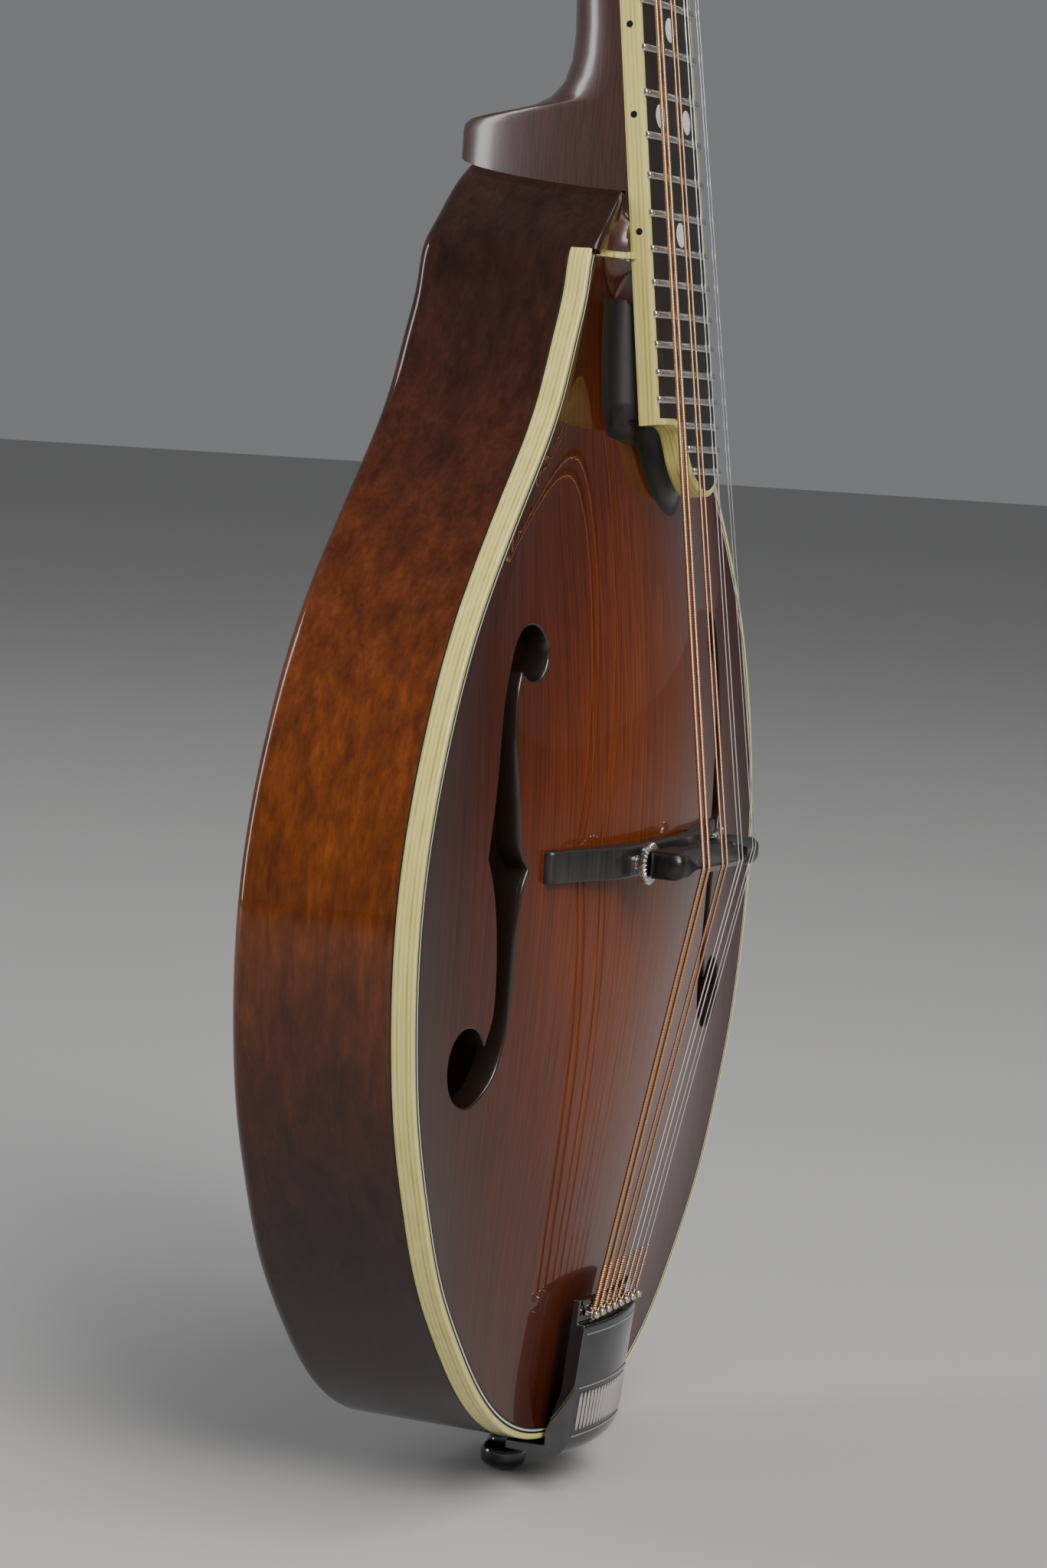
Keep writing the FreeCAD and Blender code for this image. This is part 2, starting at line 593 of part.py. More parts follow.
def worm_shape():
    """Right-hand worm along +X, its thread's crest facing +Z at the middle."""
    turns = 5
    helix = Part.makeHelix(WORM_PITCH, WORM_PITCH * turns, WORM_PITCH_R)
    crest, root = WORM_PITCH_R + MODULE, 1.45
    crest_half = 0.39 - MODULE * FLANK
    root_half = 0.39 + (WORM_PITCH_R - root) * FLANK
    profile = Part.makePolygon([Vector(root, 0, -root_half), Vector(crest, 0, -crest_half),
                                Vector(crest, 0, crest_half), Vector(root, 0, root_half),
                                Vector(root, 0, -root_half)])
    thread = Part.Wire(helix).makePipeShell([profile], True, True)
    thread.translate(Vector(0, 0, -WORM_PITCH * turns / 2))
    thread.rotate(Vector(0, 0, 0), Vector(0, 0, 1), 180)
    core = Part.makeCylinder(1.65, 2 * LUG_INNER - 0.1, Vector(0, 0, -LUG_INNER + 0.05))
    worm = core.fuse(thread)
    worm.Placement = Placement(
        Vector(0, 0, 0), Rotation(Vector(0, 0, 1), Vector(0, -1, 0), Vector(1, 0, 0), "ZXY"))
    return worm


def knob_shapes():
    """Worm shaft and button of a bass-side tuner, about the gear's centre."""
    low = Vector(0, 0, -WORM_DROP)
    inner_end, outer_end = 7.9, -29.0
    journal = Part.makeCylinder(1.5, inner_end - outer_end, Vector(outer_end, 0, 0), Vector(1, 0, 0))
    shaft_solid = worm_shape().fuse(journal)
    profile = Part.BSplineCurve()
    profile.interpolate([Vector(-16.6, 0, 2.4), Vector(-18.5, 0, 4.2), Vector(-23.0, 0, 6.0),
                         Vector(-28.0, 0, 5.6), Vector(-31.0, 0, 3.4), Vector(-31.8, 0, 0)])
    outline = Part.Wire([
        profile.toShape(), Part.makeLine(Vector(-31.8, 0, 0), Vector(-16.6, 0, 0)),
        Part.makeLine(Vector(-16.6, 0, 0), Vector(-16.6, 0, 2.4))])
    button = Part.Face(outline).revolve(Vector(0, 0, 0), Vector(1, 0, 0), 360)
    button = button.common(plain_box(-40, 0, -3.4, 3.4, -10, 10))
    bore = Part.makeCylinder(1.52, 14, Vector(-29.1, 0, 0), Vector(1, 0, 0))
    button = button.cut(bore)
    for solid in (shaft_solid, button):
        solid.translate(low)
    return [shaft_solid, button]


def post_shapes():
    """String post, its gear and the gear's screw, about the gear's centre."""
    front = -GEAR_MID - POST_FRONT
    gear_front, gear_back = -GEAR_T / 2, GEAR_T / 2
    axis = Vector(0, 1, 0)
    post = Part.makeCylinder(POST_R, gear_front - 0.05 - front, Vector(0, front, 0), axis)
    groove_front = -GEAR_MID - 10.2
    groove = Part.makeCylinder(POST_R + 1, 6.8, Vector(0, groove_front, 0), axis)
    groove = groove.cut(Part.makeCylinder(POST_WAIST_R, 6.8, Vector(0, groove_front, 0), axis))
    post = post.cut(groove)
    string_hole = Part.makeCylinder(0.8, 10, Vector(-5, -GEAR_MID - 9.0, 0), Vector(1, 0, 0))
    post = post.cut(string_hole)
    stub = Part.makeCylinder(1.6, GEAR_T + 0.05, Vector(0, gear_front - 0.05, 0), axis)
    post = post.fuse(stub)
    screw = Part.makeCylinder(2.5, 1.3, Vector(0, gear_back + 0.02, 0), axis)
    screw = screw.cut(plain_box(-0.3, 0.3, gear_back + 0.7, gear_back + 2, -3, 3))
    return [post, gear_shape(), screw]


def wrap_shape(string_radius, turns):
    """String wound on the post as a ribbed sleeve, behind the level where the string arrives."""
    inner = POST_WAIST_R + 0.03
    middle = inner + string_radius
    edges = []
    for turn in range(turns):
        low = Vector(middle, 2 * string_radius * turn - string_radius, 0)
        crest = low + Vector(string_radius, string_radius, 0)
        high = low + Vector(0, 2 * string_radius, 0)
        edges.append(Part.Arc(low, crest, high).toShape())
    first = Vector(middle, -string_radius, 0)
    last = Vector(middle, string_radius * (2 * turns - 1), 0)
    corners = [last, Vector(inner, last.y, 0), Vector(inner, first.y, 0), first]
    for start, end in zip(corners, corners[1:]):
        edges.append(Part.makeLine(start, end))
    profile = Part.Face(Part.Wire(edges))
    sleeve = profile.revolve(Vector(0, 0, 0), Vector(0, 1, 0), 360)
    sleeve.translate(Vector(0, -GEAR_MID - WRAP_LEVEL + 2 * string_radius + 0.07, 0))
    return sleeve


knob_solids = knob_shapes()
post_solids = post_shapes()
placements = []
for index in range(8):
    centre = post_axis(index % 4) + Vector(0, GEAR_MID, 0)
    frame = HEAD if index < 4 else HEAD.multiply(OTHER_SIDE)
    placements.append(frame.multiply(Placement(centre, Rotation())))

plate = plain_box(-28.5, -10.8, HEAD_T, HEAD_T + PLATE_T, 16, 116)
plate_screws = []
bushings = []
for index in range(4):
    axis = post_axis(index)
    worm_z = axis.z - WORM_DROP
    for start in (axis.x - LUG_INNER - LUG_T, axis.x + LUG_INNER):
        lug = plain_box(start, start + LUG_T, HEAD_T, GEAR_MID + 2.8, worm_z - 2.6, worm_z + 2.6)
        plate = plate.fuse(lug)
for index in range(4):
    axis = post_axis(index)
    worm_z = axis.z - WORM_DROP
    plate = plate.cut(plain_box(axis.x - 5.4, axis.x + 5.4, HEAD_T - 1, HEAD_T + PLATE_T + 0.4,
                                worm_z - 3.3, worm_z + 3.3))
    worm_hole = Part.makeCylinder(1.5 + RUN_GAP, 40, Vector(-40, GEAR_MID, worm_z), Vector(1, 0, 0))
    post_hole = Part.makeCylinder(POST_R + RUN_GAP, 30, axis + Vector(0, -5, 0), Vector(0, 1, 0))
    plate = plate.cut(worm_hole).cut(post_hole)
    bush = Part.makeCylinder(4.4, 8.0, axis, Vector(0, 1, 0))
    bush = bush.fuse(Part.makeCylinder(5.2, 0.9, axis + Vector(0, -0.9, 0), Vector(0, 1, 0)))
    bushings.append(bush.cut(post_hole))
for z in (20, 43, 66, 89, 112):
    start = Vector(-POST_X, HEAD_T + PLATE_T, z)
    head = Part.makeCylinder(1.8, 0.9, start, Vector(0, 1, 0))
    shank = Part.makeCylinder(0.8, 8, start, Vector(0, -1, 0))
    slot = plain_box(start.x - 2, start.x + 2, start.y + 0.5, start.y + 1.5, z - 0.2, z + 0.2)
    plate_screws.append(head.fuse(shank).cut(slot))
    plate = plate.cut(Part.makeCylinder(0.85, 3, start + Vector(0, -1.5, 0), Vector(0, 1, 0)))

drills = []
for index in range(4):
    axis = post_axis(index)
    drills.append(Part.makeCylinder(3.4, 30, axis + Vector(0, -5, 0), Vector(0, 1, 0)))
    drills.append(Part.makeCylinder(4.4 + GLUE, 9.05, axis + Vector(0, -1, 0), Vector(0, 1, 0)))
for z in (20, 43, 66, 89, 112):
    drills.append(Part.makeCylinder(0.85, 8, Vector(-POST_X, HEAD_T + 0.5, z), Vector(0, -1, 0)))
all_drills = Part.makeCompound(drills + [placed(drill, OTHER_SIDE) for drill in drills])
neck = neck.cut(placed(all_drills, HEAD))
veneer = veneer.cut(all_drills)

# ---------------------------------------------------------------- bridge

def bridge_view(points, half_depth, middle_down):
    """Solid from its outline seen from the tail, mirrored about the centre line."""
    curve_points = points + [(-x, front) for x, front in reversed(points)]
    face = polygon_face([at(x, front, middle_down + half_depth) for x, front in curve_points])
    return face.extrude(Vector(0, 0, 2 * half_depth))


base_points = [(56.5, 3.0), (56.5, 9.2), (54.5, 9.9), (51.0, 10.8), (47.0, 11.9), (43.0, 13.2),
               (39.0, 14.7), (35.5, 16.2), (32.0, 17.5), (29.5, 18.1), (27.8, 18.3)]
bridge_base = bridge_view(base_points, BASE_HALF_W, BRIDGE_DOWN)
relief = BEHIND_TOP.copy()
relief.translate(Vector(0, -1.2, 0))
bridge_base = bridge_base.cut(over_top)
bridge_base = bridge_base.cut(relief.common(box(-22, 22, -5, 30, 140, 160)))


def saddle_front(x):
    return SADDLE_TOP - x * x / (2 * BOARD_R)


saddle_points = [(29.0, SADDLE_UNDER), (29.0, 30.5), (28.3, 32.2), (26.8, 33.1)]
for x in (24.0, 21.0, 18.0, 15.0, 12.0, 9.0, 6.0, 3.0):
    saddle_points.append((x, saddle_front(x)))
saddle_blank = bridge_view(saddle_points, 3.5, BRIDGE_DOWN)
crest_blocks = []
for x0, x1, crest in ((-40, 12, 150.3), (12, 40, 147.9)):
    low, high = 29.5, 35.05
    section = [(SADDLE_UNDER - 1, 146.5), (low, 146.5), (high, crest - 0.12), (high, crest + 0.12),
               (low, 153.5), (SADDLE_UNDER - 1, 153.5)]
    face = polygon_face([at(x0, front, down) for front, down in section])
    crest_blocks.append(face.extrude(Vector(x1 - x0, 0, 0)))
bridge_saddle = saddle_blank.common(fused(crest_blocks))
bridge_saddle = bridge_saddle.cut(box(-13, 13, 20, 25.2, 140, 160))
studs = []
wheels = []
for x in (-STUD_X, STUD_X):
    stud = Part.makeCylinder(STUD_R, 16.6, at(x, 14.3, BRIDGE_DOWN), Vector(0, -1, 0))
    studs.append(stud)
    bridge_base = bridge_base.cut(
        Part.makeCylinder(STUD_R + 0.02, 10, at(x, 14.2, BRIDGE_DOWN), Vector(0, -1, 0)))
    bore = Part.makeCylinder(STUD_R + RUN_GAP, 9.6, at(x, 23.0, BRIDGE_DOWN), Vector(0, -1, 0))
    bridge_saddle = bridge_saddle.cut(bore)
    rim_points = []
    for notch in range(28):
        for part, radius in ((0.0, WHEEL_R), (0.55, WHEEL_R), (0.6, WHEEL_R - 0.35), (0.95, WHEEL_R - 0.35)):
            angle = 2 * math.pi * (notch + part) / 28
            rim_points.append(at(x + radius * math.cos(angle), WHEEL_FRONT,
                                 BRIDGE_DOWN + radius * math.sin(angle)))
    wheel = polygon_face(rim_points).extrude(Vector(0, -WHEEL_T, 0))
    wheel_bore = Part.makeCylinder(
        STUD_R + RUN_GAP, 10, at(x, WHEEL_FRONT - 3, BRIDGE_DOWN), Vector(0, -1, 0))
    wheels.append(wheel.cut(wheel_bore))

# ---------------------------------------------------------------- tailpiece and strap button

side_view = [(8.8, 264.0), (11.0, 264.0), (10.5, 270.5), (12.6, 270.5), (9.6, 300.5), (8.6, 303.6),
             (6.6, 305.0), (4.0, 305.2), (-9.5, 305.2), (-9.5, 302.7), (1.2, 302.7), (1.2, 299.0),
             (6.9, 288.0)]
tailpiece = polygon_face([at(-TAILPIECE_HALF_W, front, down) for front, down in side_view])
tailpiece = tailpiece.extrude(Vector(2 * TAILPIECE_HALF_W, 0, 0))
slope = Vector(0, 3.0, -30.0)
crown = Part.makeCylinder(70, 90, at(0, 12.9 - 70 + 3.5, 240), slope)
tailpiece = tailpiece.common(crown.fuse(box(-30, 30, -12, 5, 240, 310)))
for x in PEG_X:
    tailpiece = tailpiece.fuse(Part.makeCylinder(0.9, 3.0, at(x, 9.8, 267.6), Vector(0, -1, 0)))
tail_screws = []
for x in (-10.0, 0.0, 10.0):
    start = at(x, -7.3, 305.2)
    head = Part.makeCylinder(1.8, 1.0, start, Vector(0, 0, -1))
    shank = Part.makeCylinder(0.9, 13, start, Vector(0, 0, 1))
    slot = plain_box(x - 2, x + 2, start.y - 0.2, start.y + 0.2, start.z - 2, start.z - 0.5)
    tail_screws.append(head.fuse(shank).cut(slot))
    hole = Part.makeCylinder(0.95, 16, start + Vector(0, 0, -2), Vector(0, 0, 1))
    tailpiece = tailpiece.cut(hole)
    rim = rim.cut(hole)
    tail_block = tail_block.cut(hole)

tail_z = JOINT_Z - TAIL_DOWN
button_profile = [(0, -4.0), (3.0, -3.8), (5.2, -2.7), (LAND_R, -1.5), (LAND_R, 1.5), (5.2, 2.4),
                  (4.1, 3.6), (3.9, 5.0), (4.6, 6.2), (5.6, 6.8), (5.6, tail_z), (3.4, tail_z),
                  (3.2, tail_z + 18), (0, tail_z + 18)]
button_face = polygon_face([Vector(radius, 0, z) for radius, z in button_profile])
end_button = button_face.revolve(Vector(0, 0, 0), Vector(0, 0, 1), 360)
button_hole = Part.makeCylinder(3.45, 30, Vector(0, 0, tail_z - 5))
rim = rim.cut(button_hole)
tail_block = tail_block.cut(button_hole)

# ---------------------------------------------------------------- strings

def round_rod(start, end, radius):
    direction = end - start
    return Part.makeCylinder(radius, direction.Length, start, direction)


def tangent_end(start, post_x, post_z, radius, side):
    """Where a string from the start meets the post's wraps, in the headstock's frame."""
    dx, dz = post_x - start.x, post_z - start.z
    distance = math.hypot(dx, dz)
    heading = math.atan2(dx, dz) + side * math.asin(radius / distance)
    reach = math.sqrt(distance ** 2 - radius ** 2)
    return Vector(start.x + reach * math.sin(heading), -WRAP_LEVEL,
                  start.z + reach * math.cos(heading))


strings = []
for index in range(8):
    radius = STRING_R[index]
    x = SADDLE_X[index]
    crest_down = 150.3 if x < 12 else 147.9
    on_saddle = at(x, saddle_front(x) + radius + 0.22, crest_down)
    drop_at_edge = NUT_X[index] ** 2 / (2 * BOARD_R)
    in_neck = Vector(NUT_X[index], -0.3 + drop_at_edge - radius, JOINT_U + 0.8)
    on_nut = NECK.multVec(in_neck)
    peg_down = 267.6
    loop_centre = at(PEG_X[index], 11.4, peg_down)
    on_peg = at(PEG_X[index], 11.4, peg_down - 1.35)
    in_head = HEAD.inverse().multVec(on_nut)
    side = 1 if index < 4 else -1
    post = post_axis(index % 4)
    if index >= 4:
        post = OTHER_SIDE.multVec(post)
    wrap_radius = POST_WAIST_R + radius + 0.03
    on_post = HEAD.multVec(tangent_end(in_head, post.x, post.z, wrap_radius, side))
    loop = Part.makeTorus(1.35, min(radius, 0.32), loop_centre, Vector(0, 1, 0))
    pieces = [loop, round_rod(on_peg, on_saddle, radius), Part.makeSphere(radius, on_saddle),
              round_rod(on_saddle, on_nut, radius), Part.makeSphere(radius, on_nut),
              round_rod(on_nut, on_post, radius)]
    strings.append(fused(pieces))

nut_slope = [(0.35, 0.9), (-0.25, 0.8), (-2, 0.8), (-2, 6), (1.6, 6)]
nut = nut.cut(polygon_face([Vector(-30, back, JOINT_U + up) for back, up in nut_slope]).extrude(
    Vector(60, 0, 0)))

# ---------------------------------------------------------------- files

save("soundboard", [soundboard])
save("back_plate", [back_plate])
save("rim", [rim])
save("head_block", [head_block])
save("tail_block", [tail_block])
save("top_lining", [top_lining])
save("back_lining", [back_lining])
save("tone_bars", tone_bars)
save("top_binding", [top_binding])
save("purfling", [purfling, rim_line])
save("neck", [neck])
save("fingerboard_support", [support])
save("fingerboard", [placed(fingerboard, NECK)])
save("fingerboard_binding", [placed(fingerboard_binding, NECK)])
save("frets", [placed(fret, NECK) for fret in frets])
save("position_dots", [placed(dot, NECK) for dot in dots])
save("side_dots", [placed(dot, NECK) for dot in side_dots])
save("nut", [placed(nut, NECK)])
save("headstock_veneer", [placed(veneer, HEAD)])
save("truss_rod", [placed(truss_rod, NECK)])
save("truss_rod_nut", [placed(rod_nut, NECK)])
save("truss_rod_cover", [placed(rod_cover, HEAD)])
save("truss_rod_cover_screws", [placed(screw, HEAD) for screw in cover_screws])
for name, solids in (("tuner_plates", [plate]), ("tuner_plate_screws", plate_screws),
                     ("post_bushings", bushings)):
    other = [placed(solid, OTHER_SIDE) for solid in solids]
    save(name, [placed(solid, HEAD) for solid in solids + other])
for index, frame in enumerate(placements):
    number = str(index + 1)
    wrap = wrap_shape(STRING_R[index], WRAP_TURNS[index])
    save("tuner_knob_" + number, [placed(solid, frame) for solid in knob_solids])
    save("string_post_" + number, [placed(solid, frame) for solid in post_solids])
    save("string_wrap_" + number, [placed(wrap, frame)])
save("bridge_base", [bridge_base])
save("bridge_studs", studs)
save("bridge_saddle", [bridge_saddle])
save("thumbwheel_bass", [wheels[0]])
save("thumbwheel_treble", [wheels[1]])
save("tailpiece", [tailpiece])
save("tailpiece_screws", tail_screws)
save("end_button", [end_button])
save("wound_strings", strings[:4])
save("plain_strings", strings[4:])
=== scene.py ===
import math

import bmesh
import bpy
import numpy as np
from mathutils import Matrix, Vector
from mathutils.geometry import delaunay_2d_cdt


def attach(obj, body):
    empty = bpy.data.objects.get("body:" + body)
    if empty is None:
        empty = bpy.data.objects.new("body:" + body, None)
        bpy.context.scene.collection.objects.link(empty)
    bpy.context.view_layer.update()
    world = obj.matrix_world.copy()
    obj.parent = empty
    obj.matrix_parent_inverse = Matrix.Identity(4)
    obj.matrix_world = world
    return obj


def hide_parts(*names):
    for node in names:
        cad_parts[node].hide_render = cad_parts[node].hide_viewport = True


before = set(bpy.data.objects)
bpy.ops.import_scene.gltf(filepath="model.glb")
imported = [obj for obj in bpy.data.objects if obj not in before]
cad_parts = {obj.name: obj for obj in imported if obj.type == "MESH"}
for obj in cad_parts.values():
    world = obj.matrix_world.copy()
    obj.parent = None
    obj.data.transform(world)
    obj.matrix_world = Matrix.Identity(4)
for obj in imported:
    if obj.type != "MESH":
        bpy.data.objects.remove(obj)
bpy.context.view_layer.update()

# Looks of the teardrop mandolin.  Lengths are in millimetres until a piece is made.
# X across the width, treble side positive.  The front faces -Y.  Z up along the body.

MM = 0.001
TURN = 2 * math.pi

# body
JOINT_Z = 311.5
EDGE_Y = -17.0
STATIONS = [
    (-19.5, 13.0), (-14.0, 20.5), (-6.5, 28.5), (1.0, 35.3), (10.0, 37.5), (20.0, 41.5),
    (38.0, 50.0), (57.0, 64.5), (75.0, 79.5), (93.0, 92.3), (120.0, 105.0), (145.0, 112.0),
    (168.0, 113.8), (190.0, 111.8), (209.0, 107.6), (228.0, 100.2), (248.0, 90.0),
    (267.0, 75.0), (282.0, 60.0), (292.0, 45.5), (298.0, 31.5), (301.5, 16.0)]
NOSE_DOWN = -23.5
TAIL_DOWN = 302.6
EDGE_T = 6.0
BINDING_W = 1.6
PURFLING_W = 1.5
LINE_T = 0.5
BRIDGE_DOWN = 150.0

# neck and headstock
JOINT_U = 204.15
SCALE = 352.4
NUT_WIDTH = 28.7
WIDTH_GROWTH = 0.05335
BOARD_R = 190.0
BOARD_BACK = 7.0
BOARD_END_U = 247.6
BOARD_END = [
    (247.6, -11.0), (249.0, -7.9), (252.5, -5.6), (257.8, -3.3), (262.0, 0.3), (264.8, 5.0),
    (265.4, 10.0), (264.2, 15.0), (261.6, 19.0), (258.6, 21.2)]
NECK = (Matrix.Translation((0, EDGE_Y - 11.3, JOINT_Z + 1.5))
        @ Matrix.Rotation(math.radians(-7.5), 4, "X"))
HEAD = (NECK @ Matrix.Translation((0, 4.0, JOINT_U + 5.0))
        @ Matrix.Rotation(math.radians(-14.0), 4, "X"))
OTHER_SIDE = Matrix.Translation((0, 0, 137)) @ Matrix.Rotation(math.pi, 4, "Y")
TUNER_X = 19.5
FIRST_POST_Z = 34.0
POST_SPACING = 23.0
GEAR_MID = 18.1
GEAR_TEETH = 16
GEAR_MODULE = 0.594
WORM_LEAD = 1.866
WORM_DROP = 7.152
POST_GROOVE_R = 2.63

STRING_R = [0.5, 0.5, 0.33, 0.33, 0.205, 0.205, 0.14, 0.14]
SADDLE_X = [-19.5, -16.5, -7.6, -4.6, 4.6, 7.6, 16.5, 19.5]
NUT_X = [-12.6, -10.6, -4.9, -2.9, 2.9, 4.9, 10.6, 12.6]
PEG_X = [-14.7, -10.5, -6.3, -2.1, 2.1, 6.3, 10.5, 14.7]
WRAP_TURNS = [3, 3, 4, 4, 6, 6, 8, 8]


def at(x, front, down):
    """Point from its side, its height in front of the edge plane and its distance down."""
    return Vector((x, EDGE_Y - front, JOINT_Z - down))


def neck_point(u, v, back):
    return NECK @ Vector((v, back, JOINT_U - u))


# ---------------------------------------------------------------- curves

def closed_spline(points):
    """Smooth closed curve through the points; returns a function of a parameter from 0 to 1."""
    points = np.array(points, float)
    count = len(points)
    gaps = np.linalg.norm(np.roll(points, -1, 0) - points, axis=1)
    matrix = np.zeros((count, count))
    right = np.zeros((count, 2))
    for i in range(count):
        before, after = gaps[i - 1], gaps[i]
        ahead, behind = (i + 1) % count, i - 1
        matrix[i, behind] += 1 / before
        matrix[i, i] += 2 / before + 2 / after
        matrix[i, ahead] += 1 / after
        right[i] = 3 * ((points[i] - points[behind]) / before ** 2
                        + (points[ahead] - points[i]) / after ** 2)
    slopes = np.linalg.solve(matrix, right)
    ends = np.concatenate([[0], np.cumsum(gaps)])

    def curve(parameter):
        length = (parameter % 1.0) * ends[-1]
        i = min(int(np.searchsorted(ends, length, "right")) - 1, count - 1)
        t = (length - ends[i]) / gaps[i]
        p0, p1 = points[i], points[(i + 1) % count]
        m0, m1 = slopes[i] * gaps[i], slopes[(i + 1) % count] * gaps[i]
        return ((2 * t ** 3 - 3 * t ** 2 + 1) * p0 + (t ** 3 - 2 * t ** 2 + t) * m0
                + (3 * t ** 2 - 2 * t ** 3) * p1 + (t ** 3 - t ** 2) * m1)

    return curve


def open_spline(points, count):
    """Points along a smooth curve through the given ones, the ends left free."""
    points = np.array(points, float)
    total = len(points)
    gaps = np.linalg.norm(points[1:] - points[:-1], axis=1)
    matrix = np.zeros((total, total))
    right = np.zeros(points.shape)
    for i in range(1, total - 1):
        before, after = gaps[i - 1], gaps[i]
        matrix[i, i - 1:i + 2] = [1 / before, 2 / before + 2 / after, 1 / after]
        right[i] = 3 * ((points[i] - points[i - 1]) / before ** 2
                        + (points[i + 1] - points[i]) / after ** 2)
    matrix[0, 0:2] = [2, 1]
    matrix[-1, -2:] = [1, 2]
    right[0] = 3 * (points[1] - points[0]) / gaps[0]
    right[-1] = 3 * (points[-1] - points[-2]) / gaps[-1]
    slopes = np.linalg.solve(matrix, right)
    ends = np.concatenate([[0], np.cumsum(gaps)])
    result = []
    for length in np.linspace(0, ends[-1], count):
        i = min(int(np.searchsorted(ends, length, "right")) - 1, total - 2)
        t = (length - ends[i]) / gaps[i]
        m0, m1 = slopes[i] * gaps[i], slopes[i + 1] * gaps[i]
        result.append((2 * t ** 3 - 3 * t ** 2 + 1) * points[i] + (t ** 3 - 2 * t ** 2 + t) * m0
                      + (3 * t ** 2 - 2 * t ** 3) * points[i + 1] + (t ** 3 - t ** 2) * m1)
    return result


right_side = [(half, down) for down, half in STATIONS]
left_side = [(-half, down) for down, half in reversed(STATIONS)]
OUTLINE = closed_spline([(0, NOSE_DOWN)] + right_side + [(0, TAIL_DOWN)] + left_side)


def outline_frame(parameter):
    """Point (x, down) on the outline and the direction inward."""
    point = OUTLINE(parameter)
    step = 0.0004
    tangent = OUTLINE(parameter + step) - OUTLINE(parameter - step)
    tangent /= np.linalg.norm(tangent)
    normal = np.array([-tangent[1], tangent[0]])
    if normal.dot(np.array([0.0, 150.0]) - point) < 0:
        normal = -normal
    return point, normal


def parameter_at(down):
    """Parameter on the treble side where the outline crosses this height."""
    low, high = 0.0, 0.5
    for _ in range(50):
        middle = (low + high) / 2
        if OUTLINE(middle)[1] < down:
            low = middle
        else:
            high = middle
    return (low + high) / 2


JOINT_AT = parameter_at(0.0)
BELOW = [outline_frame(t) for t in np.linspace(JOINT_AT, 1 - JOINT_AT, 460)]
dense = np.array([OUTLINE(t) for t in np.linspace(0, 0.5, 1500)])
HALF_DOWNS = np.maximum.accumulate(dense[:, 1])
HALF_WIDTHS = dense[:, 0]
SPREAD = np.linspace(-9.0, 9.0, 19)


def smooth_half_width(down):
    steps = np.clip(np.asarray(down)[..., None] + SPREAD, 4.0, 296.0)
    return np.interp(steps, HALF_DOWNS, HALF_WIDTHS).mean(-1)


def bell(x, down, margin, start, end, power):
    """Arch shape: 1 in the middle of the body and 0 at its flat margin."""
    along = np.clip((down - start) / (end - start), 0, 1)
    across = np.clip(np.abs(x) / np.maximum(smooth_half_width(down) - margin, 8.0), 0, 1)
    return np.sin(math.pi * along) ** power * np.cos(math.pi * across / 2) ** 2


def top_outer(x, down):
    return 15.0 * bell(x, down, 6.0, -8.0, 297.0, 1.4)


def top_inner(x, down):
    return -EDGE_T + 16.0 * bell(x, down, 10.5, 8.0, 289.0, 1.5)


def back_edge(down):
    return -(46.0 + 0.0099 * down)


def back_outer(x, down):
    return back_edge(down) - 12.0 * bell(x, down, 6.0, -12.0, 297.0, 1.2)


def back_inner(x, down):
    return back_edge(down) + 3.5 - 11.3 * bell(x, down, 10.5, 8.0, 289.0, 1.4)


# ---------------------------------------------------------------- pieces

